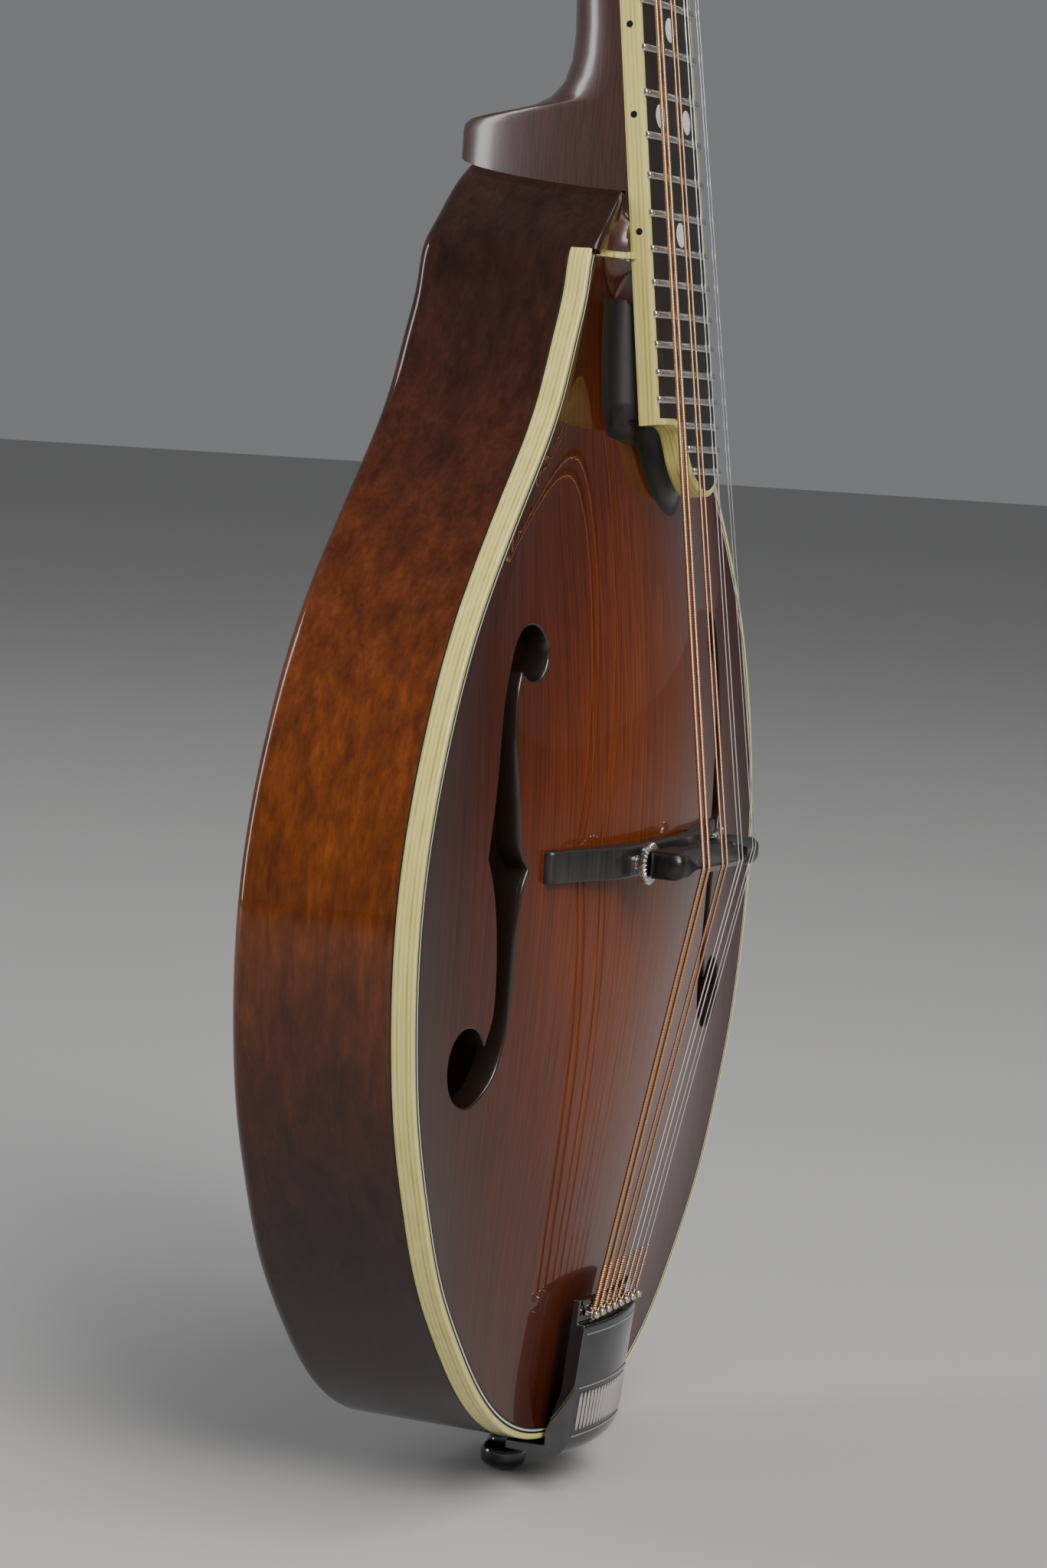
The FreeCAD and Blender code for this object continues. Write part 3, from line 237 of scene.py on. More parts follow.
class Shape:
    """Vertices and faces gathered for one piece; kind picks the face's material."""

    def __init__(self):
        self.points = []
        self.faces = []
        self.kinds = []

    def add(self, points, faces, kind=0):
        start = len(self.points)
        self.points.extend(Vector(p) for p in points)
        for face in faces:
            self.faces.append([start + i for i in face])
            self.kinds.append(kind)

    def grid(self, rows, kind=0, around=False, ends=False):
        """Quads between rows of points; around closes each row, ends caps the first and last."""
        width = len(rows[0])
        points = [p for row in rows for p in row]
        faces = []
        for r in range(len(rows) - 1):
            for c in range(width if around else width - 1):
                c1 = (c + 1) % width
                faces.append((r * width + c, r * width + c1, (r + 1) * width + c1, (r + 1) * width + c))
        if ends:
            faces.append(tuple(reversed(range(width))))
            last = (len(rows) - 1) * width
            faces.append(tuple(last + c for c in range(width)))
        self.add(points, faces, kind)

    def lathe(self, place, profile, segments=48, kind=0):
        """Turned shape about local Z from (radius, height) points."""
        rows = []
        for radius, height in profile:
            row = []
            for s in range(segments):
                a = TURN * s / segments
                row.append(place @ Vector((radius * math.cos(a), radius * math.sin(a), height)))
            rows.append(row)
        self.grid(rows, kind, around=True)

    def tube(self, path, radius, segments=12, kind=0, closed=False):
        """Round tube along a path of points; radius is a number or one per point."""
        count = len(path)
        radii = radius if isinstance(radius, (list, tuple)) else [radius] * count
        side = None
        rows = []
        for i, point in enumerate(path):
            if closed:
                along = path[(i + 1) % count] - path[i - 1]
            else:
                along = path[min(i + 1, count - 1)] - path[max(i - 1, 0)]
            along = along.normalized()
            if side is None:
                side = along.orthogonal().normalized()
            side = (side - along * side.dot(along)).normalized()
            other = along.cross(side)
            rows.append([point + (side * math.cos(TURN * s / segments)
                                  + other * math.sin(TURN * s / segments)) * radii[i]
                         for s in range(segments)])
        if closed:
            rows.append(rows[0])
        self.grid(rows, kind, around=True, ends=not closed)

    def sweep(self, frames, profile, kind=0):
        """A profile of (inset, front) carried along frames of the body's outline."""
        rows = []
        for point, normal in frames:
            row = []
            for inset, front in profile:
                x, down = point + normal * inset
                row.append(at(x, front, down))
            rows.append(row)
        self.grid(rows, kind, around=True, ends=True)

    def block(self, place, size, centre=(0, 0, 0), kind=0):
        """Box of the given size about a local centre."""
        corners = []
        for sx, sy, sz in ((-1, -1, -1), (1, -1, -1), (1, 1, -1), (-1, 1, -1),
                           (-1, -1, 1), (1, -1, 1), (1, 1, 1), (-1, 1, 1)):
            corners.append(place @ Vector((centre[0] + sx * size[0] / 2, centre[1] + sy * size[1] / 2,
                                           centre[2] + sz * size[2] / 2)))
        self.add(corners, [(0, 3, 2, 1), (4, 5, 6, 7), (0, 1, 5, 4), (1, 2, 6, 5), (2, 3, 7, 6),
                           (3, 0, 4, 7)], kind)


def piece(name, shape, materials, stands_for=(), body="body", sharp=38.0, normals=None):
    """Makes the object from a Shape, rides it on its body and hides the CAD nodes it stands for."""
    mesh = bpy.data.meshes.new(name)
    mesh.from_pydata([tuple(p * MM) for p in shape.points], [], shape.faces)
    for material in materials:
        mesh.materials.append(material)
    mesh.polygons.foreach_set("material_index", shape.kinds)
    edit = bmesh.new()
    edit.from_mesh(mesh)
    if normals is None:
        bmesh.ops.remove_doubles(edit, verts=edit.verts, dist=2e-7)
        bmesh.ops.dissolve_degenerate(edit, edges=edit.edges, dist=1e-8)
        bmesh.ops.recalc_face_normals(edit, faces=edit.faces)
    edit.to_mesh(mesh)
    edit.free()
    mesh.shade_smooth()
    mesh.set_sharp_from_angle(angle=math.radians(sharp))
    if normals is not None:
        mesh.normals_split_custom_set_from_vertices(normals)
    made = bpy.data.objects.new(name, mesh)
    bpy.context.scene.collection.objects.link(made)
    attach(made, body)
    if stands_for:
        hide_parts(*stands_for)
    return made


def bevelled(made, width, segments=3, angle=40.0):
    modifier = made.modifiers.new("Rounded edges", "BEVEL")
    modifier.width = width * MM
    modifier.segments = segments
    modifier.limit_method = "ANGLE"
    modifier.angle_limit = math.radians(angle)
    modifier.harden_normals = True
    return made


def refined(node, material, body="body", sharp=38.0, bevel=0.0):
    """A copy of a CAD node's mesh, welded and smoothed, shown in its place."""
    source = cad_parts[node]
    mesh = source.data.copy()
    mesh.materials.clear()
    mesh.materials.append(material)
    edit = bmesh.new()
    edit.from_mesh(mesh)
    bmesh.ops.remove_doubles(edit, verts=edit.verts, dist=2e-6)
    bmesh.ops.dissolve_degenerate(edit, edges=edit.edges, dist=1e-7)
    bmesh.ops.dissolve_limit(edit, angle_limit=math.radians(0.6), verts=edit.verts, edges=edit.edges)
    edit.to_mesh(mesh)
    edit.free()
    mesh.shade_smooth()
    mesh.set_sharp_from_angle(angle=math.radians(sharp))
    made = bpy.data.objects.new(node + "_look", mesh)
    bpy.context.scene.collection.objects.link(made)
    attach(made, body)
    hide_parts(node)
    if bevel:
        bevelled(made, bevel)
    return made


# ---------------------------------------------------------------- materials

class Look:
    """A procedural material, built up from sockets."""

    def __init__(self, name, roughness=0.4, metallic=0.0, coat=0.0, coat_roughness=0.03):
        self.material = bpy.data.materials.new(name)
        self.material.use_nodes = True
        self.nodes = self.material.node_tree.nodes
        self.links = self.material.node_tree.links
        self.shader = self.nodes["Principled BSDF"]
        settings = {"Roughness": roughness, "Metallic": metallic, "IOR": 1.5, "Coat Weight": coat,
                    "Coat Roughness": coat_roughness, "Specular IOR Level": 0.2 if coat > 0.8 else 0.5}
        for socket, value in settings.items():
            self.shader.inputs[socket].default_value = value
        self.place = None

    def feed(self, socket, value):
        if isinstance(value, bpy.types.NodeSocket):
            self.links.new(value, socket)
        elif isinstance(value, (tuple, list)) and len(value) == 3 and socket.type == "RGBA":
            socket.default_value = (*value, 1.0)
        else:
            socket.default_value = value

    def set(self, name, value):
        self.feed(self.shader.inputs[name], value)
        return self

    def spot(self, scale=(1, 1, 1), turn=(0, 0, 0)):
        """Position in millimetres, turned and stretched."""
        if self.place is None:
            coordinates = self.nodes.new("ShaderNodeTexCoord")
            scaled = self.nodes.new("ShaderNodeVectorMath")
            scaled.operation = "SCALE"
            scaled.inputs["Scale"].default_value = 1000.0
            self.links.new(coordinates.outputs["Object"], scaled.inputs[0])
            self.place = scaled.outputs[0]
        turned = self.nodes.new("ShaderNodeVectorRotate")
        turned.rotation_type = "EULER_XYZ"
        turned.inputs["Rotation"].default_value = [math.radians(a) for a in turn]
        self.links.new(self.place, turned.inputs["Vector"])
        stretched = self.nodes.new("ShaderNodeVectorMath")
        stretched.operation = "MULTIPLY"
        stretched.inputs[1].default_value = scale
        self.links.new(turned.outputs[0], stretched.inputs[0])
        return stretched.outputs[0]

    def axis(self, letter, vector=None):
        split = self.nodes.new("ShaderNodeSeparateXYZ")
        self.links.new(vector or self.spot(), split.inputs[0])
        return split.outputs[letter]

    def noise(self, vector, detail=3.0, roughness=0.55, distortion=0.0):
        node = self.nodes.new("ShaderNodeTexNoise")
        node.inputs["Scale"].default_value = 1.0
        node.inputs["Detail"].default_value = detail
        node.inputs["Roughness"].default_value = roughness
        node.inputs["Distortion"].default_value = distortion
        self.links.new(vector, node.inputs["Vector"])
        return node.outputs["Fac"]

    def sum(self, operation, a, b=0.0, c=None):
        node = self.nodes.new("ShaderNodeMath")
        node.operation = operation
        self.feed(node.inputs[0], a)
        self.feed(node.inputs[1], b)
        if c is not None:
            self.feed(node.inputs[2], c)
        return node.outputs[0]

    def ramp(self, value, stops):
        node = self.nodes.new("ShaderNodeValToRGB")
        elements = node.color_ramp.elements
        while len(elements) < len(stops):
            elements.new(0.5)
        for element, (position, colour) in zip(elements, stops):
            element.position = position
            element.color = (*colour, 1.0)
        self.links.new(value, node.inputs[0])
        return node.outputs["Color"]

    def grade(self, value, low, high):
        """0 at low, 1 at high, held outside."""
        node = self.nodes.new("ShaderNodeMapRange")
        self.feed(node.inputs["Value"], value)
        node.inputs["From Min"].default_value = low
        node.inputs["From Max"].default_value = high
        return node.outputs["Result"]

    def mix(self, amount, a, b, blend="MIX"):
        node = self.nodes.new("ShaderNodeMix")
        node.data_type = "RGBA"
        node.blend_type = blend
        self.feed(node.inputs["Factor"], amount)
        self.feed(node.inputs[6], a)
        self.feed(node.inputs[7], b)
        return node.outputs[2]

    def bump(self, height, strength=0.3, distance=0.1):
        node = self.nodes.new("ShaderNodeBump")
        node.inputs["Strength"].default_value = strength
        node.inputs["Distance"].default_value = distance * MM
        self.links.new(height, node.inputs["Height"])
        self.links.new(node.outputs[0], self.shader.inputs["Normal"])
        return self

    def plain(self, colour):
        self.set("Base Color", colour)
        return self.material


def spruce_top():
    look = Look("Spruce sunburst lacquer", roughness=0.35, coat=0.62, coat_roughness=0.02)
    look.set("Specular IOR Level", 0.1)
    x = look.axis("X")
    z = look.axis("Z")
    across = look.sum("DIVIDE", x, 113.0)
    above = look.sum("DIVIDE", look.sum("SUBTRACT", z, 152.0), 172.0)
    burst = look.sum("SQRT", look.sum("ADD", look.sum("MULTIPLY", across, across),
                                      look.sum("MULTIPLY", above, above)))
    cloud = look.noise(look.spot((0.02, 0.02, 0.012)), 3.0)
    burst = look.sum("ADD", burst, look.sum("MULTIPLY", look.sum("SUBTRACT", cloud, 0.5), 0.35))
    tone = look.ramp(burst, [
        (0.0, (0.185, 0.042, 0.0066)), (0.34, (0.140, 0.029, 0.0052)), (0.60, (0.076, 0.0145, 0.0038)),
        (0.84, (0.043, 0.0085, 0.0031)), (1.0, (0.024, 0.0058, 0.0029))])
    streaks = look.noise(look.spot((1.25, 0.3, 0.011)), 4.0, 0.6)
    fine = look.noise(look.spot((4.5, 1.0, 0.05)), 2.0, 0.5)
    shade = look.mix(look.grade(streaks, 0.30, 0.72), (0.58, 0.52, 0.50), (1.32, 1.30, 1.25))
    tone = look.mix(1.0, tone, shade, "MULTIPLY")
    shade = look.mix(look.grade(fine, 0.3, 0.7), (0.86, 0.85, 0.84), (1.12, 1.13, 1.14))
    look.set("Base Color", look.mix(1.0, tone, shade, "MULTIPLY"))
    return look.material


def maple_side():
    """Stained maple: dark at both ends of the body, amber at its widest."""
    look = Look("Maple sides lacquer", roughness=0.35, coat=0.72, coat_roughness=0.02)
    look.set("Specular IOR Level", 0.1)
    z = look.axis("Z")
    cloud = look.noise(look.spot((0.02, 0.03, 0.016)), 4.0)
    level = look.sum("ADD", look.sum("DIVIDE", z, 330.0),
                     look.sum("MULTIPLY", look.sum("SUBTRACT", cloud, 0.5), 0.16))
    tone = look.ramp(level, [
        (0.0, (0.0055, 0.0026, 0.0022)), (0.18, (0.013, 0.0042, 0.0026)), (0.34, (0.048, 0.011, 0.0028)),
        (0.50, (0.135, 0.033, 0.0032)), (0.62, (0.120, 0.028, 0.0040)), (0.78, (0.052, 0.0130, 0.0048)),
        (0.90, (0.028, 0.0090, 0.0052)), (1.0, (0.022, 0.0080, 0.0050))])
    figure = look.noise(look.spot((0.35, 0.35, 0.045)), 4.0, 0.6, 0.4)
    blotch = look.noise(look.spot((0.10, 0.16, 0.075)), 5.0, 0.65)
    shade = look.mix(look.grade(figure, 0.30, 0.70), (0.72, 0.70, 0.68), (1.22, 1.22, 1.2))
    tone = look.mix(1.0, tone, shade, "MULTIPLY")
    shade = look.mix(look.grade(blotch, 0.32, 0.68), (0.66, 0.60, 0.55), (1.28, 1.30, 1.35))
    tone = look.mix(1.0, tone, shade, "MULTIPLY")
    pores = look.noise(look.spot((0.9, 0.9, 0.16)), 3.0, 0.7)
    shade = look.mix(look.grade(pores, 0.35, 0.65), (0.82, 0.80, 0.78), (1.10, 1.10, 1.10))
    look.set("Base Color", look.mix(1.0, tone, shade, "MULTIPLY"))
    return look.material


def neck_wood():
    look = Look("Neck wood lacquer", roughness=0.38, coat=0.8, coat_roughness=0.17)
    streaks = look.noise(look.spot((0.5, 0.7, 0.022)), 5.0, 0.6)
    pores = look.noise(look.spot((3.2, 3.2, 0.12)), 3.0, 0.6)
    tone = look.mix(look.grade(streaks, 0.2, 0.8), (0.036, 0.0110, 0.0078), (0.062, 0.0175, 0.0105))
    shade = look.mix(look.grade(pores, 0.38, 0.55), (0.55, 0.5, 0.5), (1.05, 1.05, 1.05))
    look.set("Base Color", look.mix(1.0, tone, shade, "MULTIPLY"))
    return look.material


def ivoroid(name, turn, letter, spacing):
    """Cream binding with fine lines along it."""
    look = Look(name, roughness=0.22, coat=0.6, coat_roughness=0.05)
    place = look.spot((1, 1, 1), (turn, 0, 0))
    across = look.axis(letter, place)
    wander = look.noise(look.spot((0.01, 0.01, 0.01), (turn, 0, 0)), 2.0)
    lines = look.sum("ADD", look.sum("MULTIPLY", across, 6.2832 / spacing),
                     look.sum("MULTIPLY", wander, 5.0))
    waves = look.sum("MULTIPLY_ADD", look.sum("SINE", lines), 0.5, 0.5)
    second = look.sum("MULTIPLY_ADD", look.sum("SINE", look.sum("MULTIPLY", lines, 0.37)), 0.5, 0.5)
    amount = look.sum("MULTIPLY", look.sum("POWER", waves, 1.6), look.sum("MULTIPLY_ADD", second, 0.6, 0.4))
    mottled = look.noise(look.spot((0.4, 0.4, 0.05), (turn, 0, 0)), 3.0)
    tone = look.mix(amount, (0.70, 0.62, 0.205), (0.40, 0.340, 0.070))
    look.set("Base Color", look.mix(look.grade(mottled, 0.42, 0.95), tone, (0.76, 0.68, 0.27)))
    look.set("Subsurface Weight", 0.08)
    look.set("Subsurface Radius", (0.003, 0.002, 0.001))
    return look.material


def bare_wood():
    look = Look("Bare spruce inside", roughness=0.75)
    streaks = look.noise(look.spot((1.2, 1.2, 0.02)), 4.0, 0.6)
    look.set("Base Color", look.mix(look.grade(streaks, 0.3, 0.7), (0.36, 0.20, 0.09), (0.50, 0.32, 0.16)))
    return look.material


def block_wood():
    """Bare inside the body, lacquered where the shoulder shows in front."""
    look = Look("Head block wood", roughness=0.45, coat=0.9, coat_roughness=0.05)
    outside = look.grade(look.axis("Y"), EDGE_Y - 1.0, EDGE_Y - 1.2)
    look.set("Base Color", look.mix(outside, (0.42, 0.25, 0.12), (0.035, 0.012, 0.008)))
    return look.material


def ebony(name, gloss, low=(0.006, 0.0055, 0.005), high=(0.022, 0.019, 0.017)):
    look = Look(name, roughness=gloss, coat=0.12, coat_roughness=0.25)
    streaks = look.noise(look.spot((0.9, 0.9, 0.05)), 5.0, 0.65)
    pores = look.noise(look.spot((6.0, 6.0, 0.35)), 2.0, 0.6)
    look.set("Base Color", look.mix(look.grade(streaks, 0.35, 0.72), low, high))
    look.bump(pores, 0.25, 0.05)
    return look.material


def metal(name, colour, roughness, wear=0.0):
    look = Look(name, roughness=roughness, metallic=1.0)
    if wear:
        smudge = look.noise(look.spot((0.12, 0.12, 0.12)), 5.0, 0.65)
        dark = tuple(c * (1 - wear) for c in colour)
        look.set("Base Color", look.mix(look.grade(smudge, 0.35, 0.7), dark, colour))
    else:
        look.set("Base Color", colour)
    return look.material


def wound_metal():
    """Bronze winding: fine ridges along the string, bumped, with painted shade in the grooves and painted
    highlight on the crests.
    """
    look = Look("Bronze winding", roughness=0.28, metallic=1.0)
    ridges = look.sum("SINE", look.sum("MULTIPLY", look.axis("Z"), 6.2832 / 0.42))
    # Painted shade and highlight: the colour goes darker in each groove and lighter on each crest.
    amount = look.sum("MULTIPLY_ADD", ridges, 0.5, 0.5)
    look.set("Base Color", look.mix(amount, (0.42, 0.20, 0.10), (0.95, 0.60, 0.36)))
    look.bump(ridges, 0.5, 0.05)
    return look.material


def pearl():
    look = Look("Pearl", roughness=0.15, coat=1.0, coat_roughness=0.03)
    swirl = look.noise(look.spot((0.35, 0.35, 0.2)), 4.0, 0.6, 1.6)
    look.set("Base Color", look.ramp(swirl, [
        (0.25, (0.55, 0.66, 0.68)), (0.45, (0.86, 0.88, 0.86)), (0.58, (0.78, 0.72, 0.74)),
        (0.75, (0.88, 0.92, 0.88))]))
    return look.material


def button_plastic():
    look = Look("Cream tuner button", roughness=0.2, coat=0.8, coat_roughness=0.04)
    swirl = look.noise(look.spot((0.18, 0.18, 0.18)), 3.0, 0.55, 1.2)
    look.set("Base Color", look.mix(look.grade(swirl, 0.3, 0.7), (0.66, 0.61, 0.48), (0.86, 0.83, 0.74)))
    look.set("Subsurface Weight", 0.1)
    look.set("Subsurface Radius", (0.003, 0.002, 0.001))
    return look.material


SPRUCE = spruce_top()
MAPLE = maple_side()
NECK_WOOD = neck_wood()
IVOROID = ivoroid("Ivoroid body", 0, "Y", 1.15)
IVOROID_NECK = ivoroid("Ivoroid neck", 7.5, "Y", 1.15)
BARE = bare_wood()
BLOCK = block_wood()
# The bridge base's ebony is lighter than the other ebonies: partly painted sheen for its brushed
# highlights; the streaks are grain.
SHEEN_LIGHTENED_EBONY = ebony("Ebony satin with painted sheen", 0.33, (0.010, 0.0095, 0.009), (0.030, 0.027, 0.025))
EBONY_DARK = ebony("Ebony polished", 0.3, (0.003, 0.003, 0.003), (0.008, 0.007, 0.006))
BOARD_EBONY = ebony("Fingerboard ebony", 0.5, (0.004, 0.0035, 0.003), (0.016, 0.013, 0.011))
HOLE_EDGE = Look("F-hole edge", roughness=0.3, coat=0.6).plain((0.012, 0.006, 0.004))
LINE_BLACK = Look("Black line", roughness=0.5).plain((0.003, 0.003, 0.003))
LINE_WHITE = Look("White line", roughness=0.3, coat=0.8).plain((0.62, 0.62, 0.52))
PEARL = pearl()
BLACK = Look("Black plastic", roughness=0.12, coat=0.8, coat_roughness=0.03).plain((0.006, 0.006, 0.006))
BONE = Look("Bone nut", roughness=0.35).plain((0.74, 0.70, 0.58))
NICKEL = metal("Nickel", (0.70, 0.68, 0.64), 0.16, 0.12)
FRET_METAL = metal("Fret nickel", (0.74, 0.73, 0.70), 0.14, 0.1)
DARK_NICKEL = metal("Tailpiece nickel", (0.15, 0.15, 0.16), 0.06, 0.2)
STEEL = metal("String steel", (0.95, 0.95, 0.94), 0.3)
BRONZE_PLAIN = metal("Bronze loop", (0.88, 0.52, 0.26), 0.25)
BRASS = metal("Brass", (0.80, 0.58, 0.25), 0.25, 0.15)
WINDING = wound_metal()
BUTTON = button_plastic()


# ---------------------------------------------------------------- body

F_HOLE = [
    [(102.5, 66.5), (105.0, 62.0), (104.0, 58.3), (99.0, 55.3), (94.3, 56.2), (91.5, 60.5),
     (92.3, 65.3), (96.2, 69.0), (101.0, 71.2), (107.0, 73.2), (115.0, 74.8),
     (125.0, 76.0), (136.0, 77.6), (146.5, 79.4)],
    [(146.5, 79.4), (152.0, 77.0), (161.0, 74.6), (172.0, 73.0), (180.0, 72.4),
     (186.0, 72.7), (192.0, 75.2)],
    [(192.0, 75.2), (189.0, 77.6), (187.2, 81.2), (187.3, 85.5), (189.3, 89.2),
     (193.0, 91.5), (197.3, 91.8), (202.0, 89.8), (205.4, 85.4), (206.3, 80.2),
     (204.5, 75.5), (201.0, 71.0), (195.5, 68.2), (189.0, 66.6), (180.0, 65.9),
     (170.0, 66.0), (160.0, 65.6), (154.0, 64.6), (150.0, 62.6)],
    [(150.0, 62.6), (147.5, 65.0), (140.0, 66.8), (130.0, 68.0), (120.0, 69.0),
     (112.0, 68.8), (106.0, 67.8), (102.5, 66.5)]]
F_HOLE_COUNTS = [70, 34, 92, 40]


def f_hole_loop(side):
    loop = []
    for points, count in zip(F_HOLE, F_HOLE_COUNTS):
        loop.extend(open_spline(points, count)[:-1])
    return np.array([(side * out, down) for down, out in loop])


def grown(loop, amount):
    """Closed loop moved outward."""
    ahead = np.roll(loop, -1, 0) - loop
    behind = loop - np.roll(loop, 1, 0)
    ahead /= np.linalg.norm(ahead, axis=1)[:, None]
    behind /= np.linalg.norm(behind, axis=1)[:, None]
    along = ahead + behind
    along /= np.linalg.norm(along, axis=1)[:, None]
    area = np.sum(loop[:, 0] * np.roll(loop[:, 1], -1) - np.roll(loop[:, 0], -1) * loop[:, 1])
    normal = np.stack([along[:, 1], -along[:, 0]], 1) * (1 if area > 0 else -1)
    return loop + normal * amount


def inside(points, loop):
    """True for each point inside the closed loop."""
    x, y = points[:, 0], points[:, 1]
    result = np.zeros(len(points), bool)
    for (x0, y0), (x1, y1) in zip(loop, np.roll(loop, -1, 0)):
        crosses = (y0 > y) != (y1 > y)
        if crosses.any():
            result ^= crosses & (x < (x1 - x0) * (y - y0) / (y1 - y0 + 1e-30) + x0)
    return result


def filled(outer, holes, spacing):
    """Triangles inside the outer loop and outside the holes: points (x, down) and faces."""
    loops = [outer] + holes
    low, high = outer.min(0), outer.max(0)
    xs = np.arange(low[0] + spacing / 2, high[0], spacing)
    downs = np.arange(low[1] + spacing / 2, high[1], spacing)
    extra = np.array([(x, d) for i, d in enumerate(downs) for x in xs + (i % 2) * spacing / 2])
    keep = inside(extra, outer)
    for hole in holes:
        keep &= ~inside(extra, hole)
    extra = extra[keep]
    border = np.concatenate(loops)
    near = np.ones(len(extra), bool)
    for start in range(0, len(border), 200):
        part = border[start:start + 200]
        gaps = ((extra[:, None, :] - part[None]) ** 2).sum(-1).min(1)
        near &= gaps > (0.45 * spacing) ** 2
    extra = extra[near]
    edges = []
    start = 0
    for loop in loops:
        count = len(loop)
        edges.extend((start + i, start + (i + 1) % count) for i in range(count))
        start += count
    points = [Vector(p) for p in np.concatenate([border, extra])]
    verts, _, faces, *_ = delaunay_2d_cdt(points, edges, [], 0, 1e-5)
    flat = np.array([tuple(v) for v in verts])
    triangles = np.array([tuple(f) for f in faces])
    middles = flat[triangles].mean(1)
    keep = inside(middles, outer)
    for hole in holes:
        keep &= ~inside(middles, hole)
    return flat, triangles[keep]


def arch_normals(flat, height, outward):
    """Surface normals of height(x, down), facing forward when outward is 1."""
    step = 0.4
    x, down = flat[:, 0], flat[:, 1]
    slope_x = (height(x + step, down) - height(x - step, down)) / (2 * step)
    slope_down = (height(x, down + step) - height(x, down - step)) / (2 * step)
    normals = np.stack([-slope_x, -np.ones(len(flat)), slope_down], 1) * outward
    return normals / np.linalg.norm(normals, axis=1)[:, None]


def arched_plate(name, outer, holes, height, material, stands_for, outward):
    """One skin of an arched plate with exact normals."""
    flat, triangles = filled(outer, holes, 2.6)
    heights = height(flat[:, 0], flat[:, 1])
    shape = Shape()
    faces = []
    for a, b, c in triangles:
        pa, pb, pc = flat[a], flat[b], flat[c]
        turn = (pb[0] - pa[0]) * (pc[1] - pa[1]) - (pb[1] - pa[1]) * (pc[0] - pa[0])
        faces.append((a, b, c) if (turn < 0) == (outward > 0) else (a, c, b))
    shape.add([at(x, h, down) for (x, down), h in zip(flat, heights)], faces)
    normals = arch_normals(flat, height, outward)
    return piece(name, shape, [material], stands_for, sharp=180, normals=normals)


def inset_loop(inset, straight_down):
    """Closed loop inside the outline, cut square across below the joint line."""
    points = []
    for point, normal in BELOW:
        x, down = point + normal * inset
        if down > straight_down:
            points.append((x, down))
    (x0, _), (x1, _) = points[0], points[-1]
    for x in np.linspace(x1, x0, 30):
        points.append((x, straight_down))
    return np.array(points)


TOP_INSET = BINDING_W + PURFLING_W
holes = [f_hole_loop(-1), f_hole_loop(1)]
rounded_holes = [grown(loop, 0.45) for loop in holes]
top_outline = inset_loop(TOP_INSET, BINDING_W)
arched_plate("soundboard_face", top_outline, rounded_holes, top_outer, SPRUCE,
             ["soundboard"], 1)
arched_plate("soundboard_underside", top_outline, holes, top_inner, BARE,
             ["soundboard"], -1)

hole_shape = Shape()
for loop, wide in zip(holes, rounded_holes):
    middle = grown(loop, 0.13)
    rows = []
    for ring, drop in ((wide, 0.0), (middle, 0.13), (loop, 0.45)):
        rows.append([at(x, float(top_outer(x, down)) - drop, down) for x, down in ring])
    hole_shape.grid(rows, 0, around=True)
    low = [at(x, float(top_inner(x, down)), down) for x, down in loop]
    hole_shape.grid([rows[-1], low], 0, around=True)
piece("f_hole_edges", hole_shape, [HOLE_EDGE], ["soundboard"], sharp=60)

rim_shape = Shape()
ABOVE_BASS = [outline_frame(t) for t in np.linspace(1 - JOINT_AT, 1 - parameter_at(-21.0), 40)]
ABOVE_TREBLE = [outline_frame(t) for t in np.linspace(parameter_at(-21.0), JOINT_AT, 40)]


def rim_rows(frames, front_rows):
    """Wall of the rim along these frames: rows given from the front, then down to the back."""
    rows = []
    for point, normal in frames:
        row = []
        for inset, front in front_rows:
            x, down = point + normal * inset
            row.append(at(x, front, down))
        x, down = point
        back = float(back_edge(down)) + 3.5
        for share in (0.25, 0.5, 0.75, 1.0):
            row.append(at(x, front_rows[-1][1] * (1 - share) + back * share, down))
        x, down = point + normal * 2.6
        row.append(at(x, back, down))
        row.append(at(x, front_rows[0][1], down))
        rows.append(row)
    return rows


rim_shape.grid(rim_rows(BELOW, [(0.0, -EDGE_T)]), 0, around=True, ends=True)
shoulder_edge = [(1.5, 1.5), (0.9, 1.38), (0.4, 1.05), (0.1, 0.5), (0.0, -0.2)]
rim_shape.grid(rim_rows(ABOVE_BASS, shoulder_edge), 0, around=True, ends=True)
rim_shape.grid(rim_rows(ABOVE_TREBLE, shoulder_edge), 0, around=True, ends=True)
piece("rim_wood", rim_shape, [MAPLE], ["rim"], sharp=50)

ROUND = [outline_frame(t) for t in np.linspace(0, 1, 640, endpoint=False)]
back_shape = Shape()
rows = []
EDGE_ROUND = 3.2
for step in range(8):
    angle = math.pi / 2 * step / 7
    inset = EDGE_ROUND * (1 - math.cos(angle))
    row = []
    for point, normal in ROUND:
        x, down = point + normal * inset
        height = float(back_edge(down)) + EDGE_ROUND * (1 - math.sin(angle))
        row.append(at(x, height, down))
    rows.append(row)
joint_row = [at(p[0], float(back_edge(p[1])) + 3.52, p[1]) for p, _ in ROUND]
back_shape.grid([joint_row] + rows, 0, around=True)
piece("back_edge_round", back_shape, [MAPLE], ["back_plate"], sharp=60)
back_loop = np.array([p + n * EDGE_ROUND for p, n in ROUND])
arched_plate("back_face", back_loop, [], back_outer, MAPLE, ["back_plate"], -1)
arched_plate("back_inside", back_loop, [], back_inner, BARE, ["back_plate"], 1)

binding_shape = Shape()
radius = 0.55
profile = [(BINDING_W, -EDGE_T + LINE_T), (BINDING_W, -0.12), (BINDING_W - 0.12, 0.0)]
for step in range(7):
    angle = math.pi / 2 * step / 6
    profile.append((radius * (1 - math.sin(angle)), -radius * (1 - math.cos(angle))))
profile += [(0.0, -2.0), (0.0, -4.0), (0.0, -EDGE_T + LINE_T)]
binding_shape.sweep(BELOW, profile)


